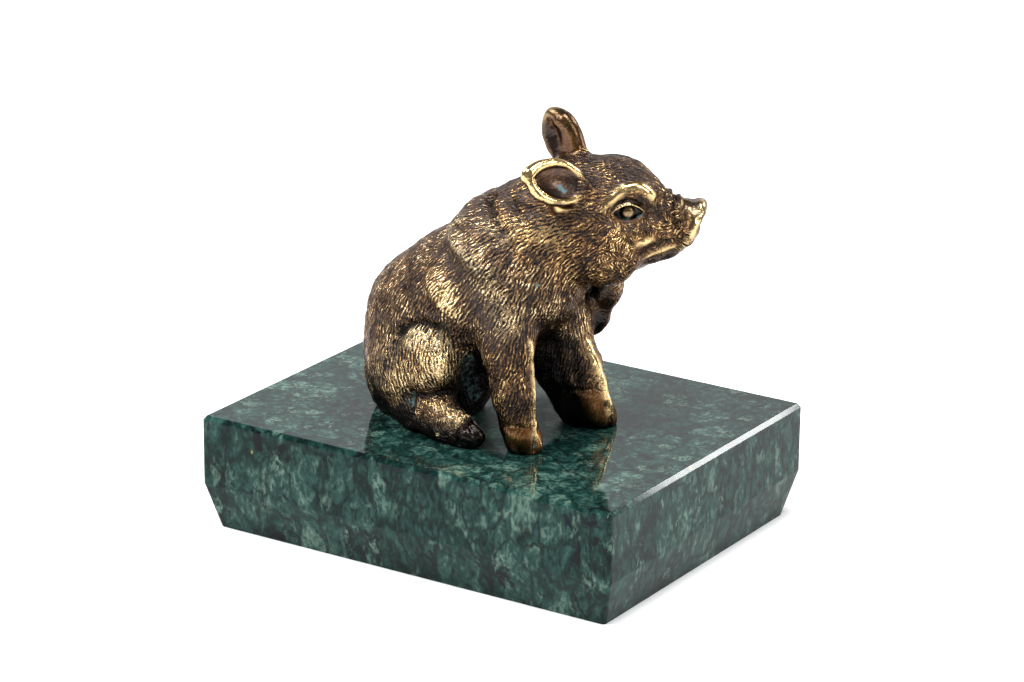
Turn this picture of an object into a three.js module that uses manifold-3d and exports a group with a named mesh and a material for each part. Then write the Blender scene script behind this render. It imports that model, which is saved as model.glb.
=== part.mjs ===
// Bronze piglet sitting on a bevelled marble plinth.
// Millimetres, +Z up, origin at the centre of the plinth's underside.
// The piglet faces +X, its right side is towards -Y, and its head is turned to its left.

import * as THREE from "three";
import { mergeVertices } from "three/addons/utils/BufferGeometryUtils.js";
import Module from "manifold-3d";

// Plinth: a sawn slab, chamfered round the top and undercut round the foot.
const PLINTH_LENGTH = 80;
const PLINTH_DEPTH = 62;
const PLINTH_HEIGHT = 20;
const TOP_CHAMFER = 0.9;
const UNDERCUT_HEIGHT = 8;
const UNDERCUT_INSET = 2.1;
const CORNER_RADIUS = 0.7;
const CORNER_SEGMENTS = 4;

// The piglet's own frame: +X ahead, +Y to its left, z = 0 on the plinth's top, y = 0 along its spine.
const SPINE_Y = -5.5;

// Trunk: the sitting body leans up from the rump to the shoulders.
const RUMP = { centre: [-11, 0, 7.8], radii: [11, 11.2, 13] };
const BARREL = { from: [-9.4, 0, 16.4], to: [3.5, 0, 26.6], startRadius: 12.1, endRadius: 12 };
const CHEST = { centre: [7.6, 0, 27], radii: [9.4, 10, 9.4] };
const NECK = { from: [4, 0, 30], to: [12, 3, 36], startRadius: 9.6, endRadius: 9.2 };
const TRUNK_BLEND = 4;
const SHOULDER = { from: [4.2, -6, 31], to: [9.2, -8.2, 18], startRadius: 6, endRadius: 4.5 };
const SHOULDER_BLEND = 2;

// Head: modelled about the middle of the skull with the nose along +X, then turned.
const HEAD_PLACE = [17.3, 6, 37.7];
const HEAD_TURN = 33;
const SKULL = { centre: [-1, 0, 0], radii: [9.8, 9, 9.3] };
const FOREHEAD = { centre: [3.2, 0, 3.2], radii: [6.2, 6.2, 5.7] };
const BRIDGE = { from: [3, 0, 3.6], to: [10, 0, -0.4], startRadius: 5.4, endRadius: 4.2 };
const MUZZLE = { from: [4, 0, -3], to: [13, 0, -2], startRadius: 7, endRadius: 4 };
const HEAD_BLEND = 2.4;
const CHEEK = { centre: [1.4, 5, -5.2], radii: [6, 4.4, 6] };
const JAW = { from: [0, 0, -7.3], to: [11.6, 0, -5.8], startRadius: 4.6, endRadius: 2.2 };
const FACE_BLEND = 1.2;
const FINE_BLEND = 0.6;
const NOSE = { centre: [15.5, 0, -1.8], radius: 4.6, thickness: 2.2, edge: 1, tilt: 26 };
const NOSTRIL = { centre: [1.3, 1.7, 0.3], radii: [1.5, 0.9, 1.3] };
const BROW = { centre: [4.6, 4.8, 4.4], radii: [4.4, 2.6, 2.4] };
const SOCKET = { centre: [5.8, 8.9, 2.3], radii: [3.2, 2.5, 2] };
const EYE = { centre: [5.6, 4.9, 2.3], radii: [2.8, 2.2, 2] };

// Ears: thick dished leaves, each with its own root, tip and the way its hollow faces.
const EAR_THICKNESS = 3.3;
const EAR_DISH = 1.2;
const EAR_DISH_MIDDLE = 0.56;
const EAR_RIM = 1.5;
const EAR_END_RIM = 2.7;
const EAR_CURL = 0.05;
const EAR_BLEND = 1.2;
const NEAR_EAR = { root: [-1.4, -6, 5.4], tip: [-13, -11.4, 9.4], width: 4.1, facing: [0.05, -0.9, 0.42] };
const FAR_EAR = { root: [-2.4, 4.6, 5.6], tip: [-8, 8.4, 15.4], width: 4.2, facing: [-0.75, -0.6, 0.1] };

// Forelegs: elbow, wrist, pastern, hoof and toe. The far one is deeper from front to back.
const NEAR_FORELEG = [[9.2, -8.2, 18], [11.3, -9.2, 8.5], [12.4, -9.4, 4], [13.1, -9, 1.4], [14.2, -8.8, 1]];
const NEAR_FORELEG_RADII = [4.3, 3.3, 2.6, 2.55, 2.4];
const FAR_FORELEG = [[9.8, 7, 18], [13.8, 7.2, 8.5], [15.8, 7.5, 4], [16.2, 7.9, 1.6], [17.6, 8.8, 1]];
const FAR_FORELEG_RADII = [4.8, 3.9, 3, 2.8, 2.4];
const FAR_CALF = [[6.4, 5.2, 18], [9.4, 7.4, 8.5], [12, 7.4, 4], [13, 7.6, 1.6]];
const FAR_CALF_RADII = [4.8, 3.7, 3.1, 2.8];

// Near hind leg: folded, with the foot flat on the plinth.
const THIGH = { centre: [-8.4, -9.2, 10], radii: [8.6, 4.6, 8] };
const HIND_SHANK = { from: [-3, -10.6, 12], to: [-8.6, -9.4, 4], startRadius: 3.8, endRadius: 3.2 };
const HIND_FOOT = [[-8, -9.8, 2.8], [-1, -11.4, 3.1], [3, -12.1, 2.1], [5.3, -12.7, 1.3]];
const HIND_FOOT_RADII = [3.2, 3.2, 2.6, 1.7];

// Far hind leg: hip, knee, hock, pastern and hoof, raised beside the chest to the cheek.
const RAISED_LEG = [[-12, 6, 12], [-1.5, 10.4, 17.5], [11.5, 14, 16.2], [14.6, 14.4, 22], [15.8, 15.2, 27.5]];
const RAISED_RADII = [7, 5, 2.8, 2.5, 2.3];
const LEG_BLEND = 1.6;

// Tail: a small curl lying on the rump.
const TAIL_CENTRE = [-21.2, 4.6, 11.6];
const TAIL_LOOP = 1.9;
const TAIL_RADIUS = 1.1;

// Surface lattice: wide steps over the body, closer over the head, closest over the ears.
const BODY_STEP = 2.1;
const HEAD_STEP = 1.25;
const EAR_STEP = 0.95;
const LATTICE_X = [[-27, BODY_STEP], [4, HEAD_STEP], [36, 0]];
const LATTICE_Y = [[-20, BODY_STEP], [-9, HEAD_STEP], [23, 0]];
const LATTICE_Z = [[0.02, BODY_STEP], [26, HEAD_STEP], [42, EAR_STEP], [59, 0]];
const RELAX_PASSES = 4;
const SETTLE_STEPS = 4;
const SETTLE_REACH = 0.5;
const PROBE = 0.02;

const radians = THREE.MathUtils.degToRad;

// Soft unions and cuts of distances, below zero inside a shape. The blend is the width of the fillet.
function softMin(a, b, blend) {
  const overlap = Math.max(blend - Math.abs(a - b), 0);
  return Math.min(a, b) - (overlap * overlap) / (4 * blend);
}

function join(shapes, blend) {
  return (x, y, z) => shapes.reduce((distance, shape) => softMin(distance, shape(x, y, z), blend), Infinity);
}

function carve(shape, tool, blend) {
  return (x, y, z) => -softMin(-shape(x, y, z), tool(x, y, z), blend);
}

// Every shape is a function of a point that gives its distance to the surface.
function egg({ centre, radii }) {
  const [rx, ry, rz] = radii;
  return (x, y, z) => {
    const ax = (x - centre[0]) / rx;
    const ay = (y - centre[1]) / ry;
    const az = (z - centre[2]) / rz;
    const reach = Math.sqrt(ax * ax + ay * ay + az * az);
    const slope = Math.sqrt((ax / rx) ** 2 + (ay / ry) ** 2 + (az / rz) ** 2);
    return slope > 0 ? (reach * (reach - 1)) / slope : -Math.min(rx, ry, rz);
  };
}

function limb({ from, to, startRadius, endRadius }) {
  const along = to.map((value, axis) => value - from[axis]);
  const lengthSquared = along[0] ** 2 + along[1] ** 2 + along[2] ** 2;
  return (x, y, z) => {
    const dx = x - from[0];
    const dy = y - from[1];
    const dz = z - from[2];
    const dot = dx * along[0] + dy * along[1] + dz * along[2];
    const t = Math.min(Math.max(dot / lengthSquared, 0), 1);
    const gap = Math.sqrt((dx - t * along[0]) ** 2 + (dy - t * along[1]) ** 2 + (dz - t * along[2]) ** 2);
    return gap - startRadius - t * (endRadius - startRadius);
  };
}

function limbChain(points, radii) {
  const pieces = [];
  for (let i = 0; i + 1 < points.length; i += 1) {
    pieces.push(limb({ from: points[i], to: points[i + 1], startRadius: radii[i], endRadius: radii[i + 1] }));
  }
  return join(pieces, LEG_BLEND);
}

// A round plate across the x axis with a rolled edge.
function plate({ radius, thickness, edge }) {
  return (x, y, z) => {
    const across = Math.sqrt(y * y + z * z) - radius + edge;
    const through = Math.abs(x) - thickness / 2 + edge;
    const outside = Math.sqrt(Math.max(across, 0) ** 2 + Math.max(through, 0) ** 2);
    return outside + Math.min(Math.max(across, through), 0) - edge;
  };
}

function ring(centre, loopRadius, tubeRadius) {
  return (x, y, z) => {
    const across = Math.sqrt((y - centre[1]) ** 2 + (z - centre[2]) ** 2) - loopRadius;
    return Math.sqrt(across * across + (x - centre[0]) ** 2) - tubeRadius;
  };
}

function mirrored({ centre, radii }, side) {
  return { centre: [centre[0], side * centre[1], centre[2]], radii };
}

// A shape moved into a frame of its own.
function placed(shape, frame) {
  const e = frame.clone().invert().elements;
  return (x, y, z) =>
    shape(
      e[0] * x + e[4] * y + e[8] * z + e[12],
      e[1] * x + e[5] * y + e[9] * z + e[13],
      e[2] * x + e[6] * y + e[10] * z + e[14],
    );
}

// The leaf lies between two arcs that meet at the root and the tip, and its edges curl forward.
function ear({ root, tip, width, facing }) {
  const start = new THREE.Vector3(...root);
  const along = new THREE.Vector3(...tip).sub(start);
  const length = along.length();
  along.normalize();
  const normal = new THREE.Vector3(...facing);
  normal.addScaledVector(along, -normal.dot(along)).normalize();
  const across = new THREE.Vector3().crossVectors(normal, along);
  const frame = new THREE.Matrix4().makeBasis(along, across, normal).setPosition(start);
  const bow = (length * length / 4 + width * width) / (2 * width);
  const edge = EAR_THICKNESS / 2;
  const leaf = (x, y, z) => {
    const outline = Math.sqrt((x - length / 2) ** 2 + (Math.abs(y) + bow - width) ** 2) - bow;
    const beyond = Math.max(outline + edge, 0);
    return Math.sqrt(beyond * beyond + (z - EAR_CURL * y * y) ** 2) - edge;
  };
  const dishRise = EAR_DISH / 2;
  const dish = egg({
    centre: [EAR_DISH_MIDDLE * length, 0, edge + dishRise],
    radii: [length / 2 - EAR_END_RIM, width - EAR_RIM, EAR_DISH + dishRise],
  });
  return placed(carve(leaf, dish, EAR_BLEND), frame);
}

function head() {
  let shape = join([egg(SKULL), egg(FOREHEAD), limb(BRIDGE), limb(MUZZLE)], HEAD_BLEND);
  const noseFrame = new THREE.Matrix4().makeRotationY(radians(NOSE.tilt)).setPosition(...NOSE.centre);
  shape = join([shape, limb(JAW), placed(plate(NOSE), noseFrame)], FACE_BLEND);
  for (const side of [-1, 1]) {
    shape = join([shape, egg(mirrored(CHEEK, side)), egg(mirrored(BROW, side))], FACE_BLEND);
    shape = carve(shape, egg(mirrored(SOCKET, side)), FACE_BLEND);
    shape = join([shape, egg(mirrored(EYE, side))], FINE_BLEND);
    shape = carve(shape, placed(egg(mirrored(NOSTRIL, side)), noseFrame), FINE_BLEND);
  }
  shape = join([shape, ear(NEAR_EAR), ear(FAR_EAR)], EAR_BLEND);
  const frame = new THREE.Matrix4().makeRotationZ(radians(HEAD_TURN)).setPosition(...HEAD_PLACE);
  return placed(shape, frame);
}

function trunk() {
  const masses = join([egg(RUMP), limb(BARREL), egg(CHEST), limb(NECK)], TRUNK_BLEND);
  const left = { ...SHOULDER, from: [...SHOULDER.from], to: FAR_FORELEG[0] };
  left.from[1] *= -1;
  return join([masses, limb(SHOULDER), limb(left), head()], SHOULDER_BLEND);
}

function piglet() {
  return join(
    [
      trunk(),
      limbChain(NEAR_FORELEG, NEAR_FORELEG_RADII),
      limbChain(FAR_FORELEG, FAR_FORELEG_RADII),
      limbChain(FAR_CALF, FAR_CALF_RADII),
      join([egg(THIGH), limb(HIND_SHANK)], LEG_BLEND),
      limbChain(HIND_FOOT, HIND_FOOT_RADII),
      limbChain(RAISED_LEG, RAISED_RADII),
      ring(TAIL_CENTRE, TAIL_LOOP, TAIL_RADIUS),
    ],
    LEG_BLEND,
  );
}

// Lattice lines through a list of bands, each a start and the step that follows it.
function latticeLines(bands) {
  const lines = [];
  for (let band = 0; band + 1 < bands.length; band += 1) {
    const [start, step] = bands[band];
    const length = bands[band + 1][0] - start;
    const count = Math.ceil(length / step);
    for (let i = 0; i < count; i += 1) {
      lines.push(start + (length * i) / count);
    }
  }
  lines.push(bands[bands.length - 1][0]);
  return lines;
}

// The eight corners of a lattice cell, and the corners inside the shape that hang together with one of them.
const CORNERS = [0, 1, 2, 3, 4, 5, 6, 7].map((c) => [c & 1, (c >> 1) & 1, (c >> 2) & 1]);

function cornerGroup(cell, first) {
  const group = [first];
  for (const corner of group) {
    for (const bit of [1, 2, 4]) {
      const next = corner ^ bit;
      if (cell[next] < 0 && !group.includes(next)) {
        group.push(next);
      }
    }
  }
  return group;
}

// Mean place, in the cell, of the surface's crossings next to a group of corners.
function crossingMean(cell, group) {
  const sum = [0, 0, 0];
  let count = 0;
  for (const corner of group) {
    for (const bit of [1, 2, 4]) {
      const other = corner ^ bit;
      if (cell[other] >= 0) {
        const t = cell[corner] / (cell[corner] - cell[other]);
        CORNERS[corner].forEach((value, axis) => {
          sum[axis] += value + t * (CORNERS[other][axis] - value);
        });
        count += 1;
      }
    }
  }
  return sum.map((value) => value / count);
}

// One vertex for every sheet of the surface in a lattice cell. The lowest cells hold the soles.
function netVertices(values, at, [xs, ys, zs]) {
  const vertexOf = new Map();
  const points = [];
  const kinds = [];
  for (let k = 0; k + 1 < zs.length; k += 1) {
    for (let j = 0; j + 1 < ys.length; j += 1) {
      for (let i = 0; i + 1 < xs.length; i += 1) {
        const cell = CORNERS.map(([a, b, c]) => values[at(i + a, j + b, k + c)]);
        if (cell.every((value) => value < 0)) {
          continue;
        }
        cell.forEach((value, corner) => {
          const key = 8 * at(i, j, k) + corner;
          if (value >= 0 || vertexOf.has(key)) {
            return;
          }
          const group = cornerGroup(cell, corner);
          group.forEach((member) => vertexOf.set(key - corner + member, points.length));
          const [u, v, w] = crossingMean(cell, group);
          const z = k === 0 ? 0 : zs[k] + w * (zs[k + 1] - zs[k]);
          points.push([xs[i] + u * (xs[i + 1] - xs[i]), ys[j] + v * (ys[j + 1] - ys[j]), z]);
          const edge = group.length < 4 ? "rim" : "sole";
          kinds.push(k === 0 ? edge : "free");
        });
      }
    }
  }
  return { vertexOf, points, kinds };
}

// One quad across every lattice edge that the surface crosses, facing out.
function netQuads(values, at, vertexOf, [xs, ys, zs]) {
  const steps = [[1, 0, 0], [0, 1, 0], [0, 0, 1]];
  const quads = [];
  for (let k = 0; k + 1 < zs.length; k += 1) {
    for (let j = 1; j + 1 < ys.length; j += 1) {
      for (let i = 1; i + 1 < xs.length; i += 1) {
        const inside = values[at(i, j, k)] < 0;
        steps.forEach(([a, b, c], axis) => {
          if (inside === values[at(i + a, j + b, k + c)] < 0) {
            return;
          }
          const [p, q] = [steps[(axis + 1) % 3], steps[(axis + 2) % 3]];
          const end = inside ? 0 : 1 << axis;
          const round = [[1, 1], [0, 1], [0, 0], [1, 0]].map(([m, n]) => {
            const back = [0, 1, 2].map((d) => m * p[d] + n * q[d]);
            const corner = end + back[0] + 2 * back[1] + 4 * back[2];
            return vertexOf.get(8 * at(i - back[0], j - back[1], k - back[2]) + corner);
          });
          quads.push(inside ? round : round.reverse());
        });
      }
    }
  }
  return quads;
}

// Moves a point onto the surface along its slope, or over the plinth's top alone for the rim of a sole.
function settle(point, shape, kind) {
  for (let n = 0; n < SETTLE_STEPS; n += 1) {
    const distance = shape(...point);
    const slope = [0, 1, 2].map((axis) => {
      const near = point.map((value, i) => (i === axis ? value + PROBE : value));
      return axis === 2 && kind === "rim" ? 0 : (shape(...near) - distance) / PROBE;
    });
    const steepness = slope[0] ** 2 + slope[1] ** 2 + slope[2] ** 2 + PROBE;
    const step = THREE.MathUtils.clamp(distance / steepness, -SETTLE_REACH, SETTLE_REACH);
    for (let axis = 0; axis < 3; axis += 1) {
      point[axis] -= step * slope[axis];
    }
  }
}

// Spreads the vertices evenly over the surface.
function relax(points, kinds, quads, shape) {
  const neighbours = points.map(() => new Set());
  for (const quad of quads) {
    quad.forEach((vertex, i) => {
      neighbours[vertex].add(quad[(i + 1) % 4]);
      neighbours[vertex].add(quad[(i + 3) % 4]);
    });
  }
  for (let pass = 0; pass < RELAX_PASSES; pass += 1) {
    const before = points.map((point) => [...point]);
    points.forEach((point, i) => {
      const around = [...neighbours[i]].filter((n) => kinds[i] !== "rim" || kinds[n] === "rim");
      for (let axis = 0; axis < (kinds[i] === "free" ? 3 : 2); axis += 1) {
        const mean = around.reduce((sum, n) => sum + before[n][axis], 0) / around.length;
        point[axis] = (before[i][axis] + mean) / 2;
      }
      if (kinds[i] !== "sole") {
        settle(point, shape, kinds[i]);
      }
    });
  }
}

function netGeometry(points, quads) {
  const gap = (a, b) => new THREE.Vector3(...points[a]).distanceTo(new THREE.Vector3(...points[b]));
  const index = quads.flatMap(([a, b, c, d]) =>
    gap(a, c) <= gap(b, d) ? [a, b, c, a, c, d] : [a, b, d, b, c, d],
  );
  const geometry = new THREE.BufferGeometry();
  geometry.setAttribute("position", new THREE.Float32BufferAttribute(points.flat(), 3));
  geometry.setIndex(index);
  geometry.computeVertexNormals();
  return geometry;
}

// Wraps a shape in a net of quads, cut flat where it stands on the plinth.
function wrap(shape) {
  const lines = [latticeLines(LATTICE_X), latticeLines(LATTICE_Y), latticeLines(LATTICE_Z)];
  const [xs, ys, zs] = lines;
  zs.unshift(-BODY_STEP);
  const at = (i, j, k) => (k * ys.length + j) * xs.length + i;
  const values = new Float64Array(xs.length * ys.length * zs.length);
  for (let k = 0; k < zs.length; k += 1) {
    for (let j = 0; j < ys.length; j += 1) {
      for (let i = 0; i < xs.length; i += 1) {
        values[at(i, j, k)] = zs[k] < 0 ? BODY_STEP : shape(xs[i], ys[j], zs[k]);
      }
    }
  }
  const { vertexOf, points, kinds } = netVertices(values, at, lines);
  const quads = netQuads(values, at, vertexOf, lines);
  relax(points, kinds, quads, shape);
  return netGeometry(points, quads);
}

function outlineOf(corners) {
  return new THREE.Shape(corners.map(([x, y]) => new THREE.Vector2(x, y)));
}

// Side view of the slab: undercut foot, upright side, chamfered top.
function slabProfile(length) {
  const half = length / 2;
  const right = [
    [half - UNDERCUT_INSET, 0],
    [half, UNDERCUT_HEIGHT],
    [half, PLINTH_HEIGHT - TOP_CHAMFER],
    [half - TOP_CHAMFER, PLINTH_HEIGHT],
  ];
  const left = right.map(([x, z]) => [-x, z]).reverse();
  return outlineOf([...right, ...left]);
}

function roundedPlan() {
  const x = PLINTH_LENGTH / 2 - CORNER_RADIUS;
  const y = PLINTH_DEPTH / 2 - CORNER_RADIUS;
  const plan = new THREE.Shape();
  const corners = [[x, y], [-x, y], [-x, -y], [x, -y]];
  corners.forEach(([cx, cy], i) => {
    plan.absarc(cx, cy, CORNER_RADIUS, (i * Math.PI) / 2, ((i + 1) * Math.PI) / 2);
  });
  return plan;
}

function solidOf(wasm, geometry) {
  const bare = geometry.clone();
  bare.deleteAttribute("normal");
  bare.deleteAttribute("uv");
  const merged = mergeVertices(bare);
  const vertProperties = new Float32Array(merged.attributes.position.array);
  const triVerts = new Uint32Array(merged.index.array);
  return new wasm.Manifold(new wasm.Mesh({ numProp: 3, vertProperties, triVerts }));
}

function geometryOf(solid) {
  const { vertProperties, triVerts } = solid.getMesh();
  const geometry = new THREE.BufferGeometry();
  geometry.setAttribute("position", new THREE.BufferAttribute(vertProperties, 3));
  geometry.setIndex(new THREE.BufferAttribute(triVerts, 1));
  geometry.computeVertexNormals();
  return geometry;
}

// The slab is what three long bars have in common: two side profiles and the plan.
function slab(wasm) {
  const depth = 1.5 * PLINTH_LENGTH;
  const settings = { depth, bevelEnabled: false, curveSegments: CORNER_SEGMENTS };
  const bar = (shape) => new THREE.ExtrudeGeometry(shape, settings).translate(0, 0, -depth / 2);
  const across = bar(slabProfile(PLINTH_LENGTH)).rotateX(Math.PI / 2);
  const lengthways = bar(slabProfile(PLINTH_DEPTH)).rotateX(Math.PI / 2).rotateZ(Math.PI / 2);
  const upright = bar(roundedPlan());
  const solid = solidOf(wasm, across).intersect(solidOf(wasm, lengthways)).intersect(solidOf(wasm, upright));
  return geometryOf(solid);
}

function namedMesh(name, geometry, material) {
  const mesh = new THREE.Mesh(geometry, material);
  mesh.name = name;
  return mesh;
}

const wasm = await Module();
wasm.setup();

const marble = new THREE.MeshStandardMaterial({ color: 0x2b4a40, roughness: 0.12, metalness: 0 });
const bronze = new THREE.MeshStandardMaterial({ color: 0x6e4c26, roughness: 0.42, metalness: 1 });

const figure = namedMesh("piglet", wrap(piglet()), bronze);
figure.position.set(0, SPINE_Y, PLINTH_HEIGHT);

const sculpture = new THREE.Group();
sculpture.add(namedMesh("plinth", slab(wasm), marble), figure);

export default sculpture;
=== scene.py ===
"""Dresses the bronze piglet and its marble plinth over their solid model, in metres with +Z up."""

import logging
import math
from collections.abc import Iterable
from dataclasses import dataclass
from enum import Enum

import bmesh
import bpy
import numpy as np
from mathutils import Matrix, Vector
from mathutils.bvhtree import BVHTree
from mathutils.kdtree import KDTree


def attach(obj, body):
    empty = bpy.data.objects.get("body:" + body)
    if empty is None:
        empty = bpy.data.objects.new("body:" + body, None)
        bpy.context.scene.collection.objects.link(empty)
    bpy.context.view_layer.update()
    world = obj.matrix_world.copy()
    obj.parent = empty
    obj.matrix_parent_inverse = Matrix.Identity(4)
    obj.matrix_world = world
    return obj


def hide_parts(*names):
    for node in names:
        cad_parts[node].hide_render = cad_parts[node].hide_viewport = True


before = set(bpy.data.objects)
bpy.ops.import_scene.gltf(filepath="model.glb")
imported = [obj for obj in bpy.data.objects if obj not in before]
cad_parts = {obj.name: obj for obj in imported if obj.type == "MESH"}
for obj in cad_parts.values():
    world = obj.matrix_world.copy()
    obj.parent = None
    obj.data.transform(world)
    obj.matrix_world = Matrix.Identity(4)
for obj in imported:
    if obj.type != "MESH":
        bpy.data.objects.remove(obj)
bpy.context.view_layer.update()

Array = np.ndarray
Point = tuple[float, float, float]
Path = tuple[Point, ...]
Colour = tuple[float, float, float, float]
Socket = bpy.types.NodeSocket

MM = 0.001
LOG = logging.getLogger("piglet")


class Blend(Enum):
    """How a colour is laid over another in a finish."""

    MIX = "MIX"
    MULTIPLY = "MULTIPLY"


def smooth_step(values: Array, low: float, high: float) -> Array:
    """Rises smoothly from 0 to 1.

    Args:
        values: Numbers to map.
        low: Where the rise starts.
        high: Where the rise ends, which may lie below its start.

    Returns:
        The mapped numbers.
    """
    t = np.clip((values - low) / (high - low), 0.0, 1.0)
    return t * t * (3.0 - 2.0 * t)


def bell(offsets: Array, width: float) -> Array:
    """Falls smoothly from 1 at no offset towards 0 beyond the width."""
    return np.exp(-((offsets / width) ** 2))


def grey(level: float) -> Colour:
    """A grey of a given level, for a number that is mixed as a colour."""
    return (level, level, level, 1.0)


def path_gap(points: Array, path: Path) -> tuple[Array, Array]:
    """Finds how far points lie from a path.

    Args:
        points: Points in millimetres, one a row.
        path: The path's corners in millimetres.

    Returns:
        The distance of every point, and its place along the path from 0 to 1.
    """
    corners = np.array(path, float)
    steps = np.linalg.norm(np.diff(corners, axis=0), axis=1)
    starts = np.concatenate(([0.0], np.cumsum(steps)))
    best = np.full(len(points), np.inf)
    place = np.zeros(len(points))
    for i, step in enumerate(steps):
        along = (corners[i + 1] - corners[i]) / step
        offset = points - corners[i]
        t = np.clip(offset @ along, 0.0, step)
        gap = np.linalg.norm(offset - t[:, None] * along, axis=1)
        nearer = gap < best
        best[nearer] = gap[nearer]
        place[nearer] = (starts[i] + t[nearer]) / starts[-1]
    return best, place


@dataclass(frozen=True)
class HeadFrame:
    """The turned head's own axes: ahead along the snout, aside to its left, and up."""

    origin: Point = (17.3, 0.5, 57.7)
    turn: float = 33.0
    squeeze: Point = (0.8, 1.0, 1.0)

    def axes(self) -> Array:
        """The head's axes as the rows of a matrix."""
        c, s = math.cos(math.radians(self.turn)), math.sin(math.radians(self.turn))
        return np.array([[c, s, 0.0], [-s, c, 0.0], [0.0, 0.0, 1.0]])

    def local(self, points: Array) -> Array:
        """Points of the whole figure in the head's axes."""
        return (points - np.array(self.origin)) @ self.axes().T

    def folded(self, points: Array) -> Array:
        """Points in the head's axes with both halves of the face laid on the left one.

        Args:
            points: Points of the whole figure, in millimetres.

        Returns:
            Points in the folded head axes.
        """
        local = self.local(points)
        local[:, 1] = np.abs(local[:, 1])
        return local

    def reach(self, local: Array) -> Array:
        """How far points in the head's axes are from its middle, with the snout's length drawn in."""
        return np.linalg.norm(local * np.array(self.squeeze), axis=1)


@dataclass(frozen=True)
class Line:
    """A crease or a ridge worked along a path, with soft ends."""

    path: Path
    width: float
    height: float
    ends: float = 0.12

    def lift(self, points: Array) -> Array:
        """How far each point rises, or sinks for a crease.

        Args:
            points: Points in millimetres.

        Returns:
            Heights in millimetres.
        """
        gap, place = path_gap(points, self.path)
        taper = smooth_step(place, -self.ends, self.ends) * smooth_step(place, 1 + self.ends, 1 - self.ends)
        return self.height * taper * bell(gap, self.width)


@dataclass(frozen=True)
class Swell:
    """A soft bump or pit."""

    centre: Point
    radii: Point
    height: float

    def lift(self, points: Array) -> Array:
        """How far each point rises or sinks, in millimetres."""
        share = (points - np.array(self.centre)) / np.array(self.radii)
        return self.height * np.exp(-(share**2).sum(1))


@dataclass(frozen=True)
class Touch:
    """A stroke of a tint along a path, strongest on it."""

    path: Path
    width: float
    strength: float

    def amount(self, points: Array) -> Array:
        """How much of the tint each point takes, from 0 to 1."""
        if len(self.path) == 1:
            gap = np.linalg.norm(points - np.array(self.path[0]), axis=1)
        else:
            gap, _ = path_gap(points, self.path)
        return self.strength * bell(gap, self.width)


def strongest(touches: Iterable[Touch], points: Array) -> Array:
    """The largest amount that any of the touches gives each point."""
    return np.maximum.reduce([touch.amount(points) for touch in touches])


@dataclass(frozen=True)
class Band:
    """A soft band that runs along an eyelid's edge."""

    height: float
    offset: float
    width: float

    def at(self, gaps: Array) -> Array:
        """The band's height at distances from the edge."""
        return self.height * bell(gaps - self.offset, self.width)


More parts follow.
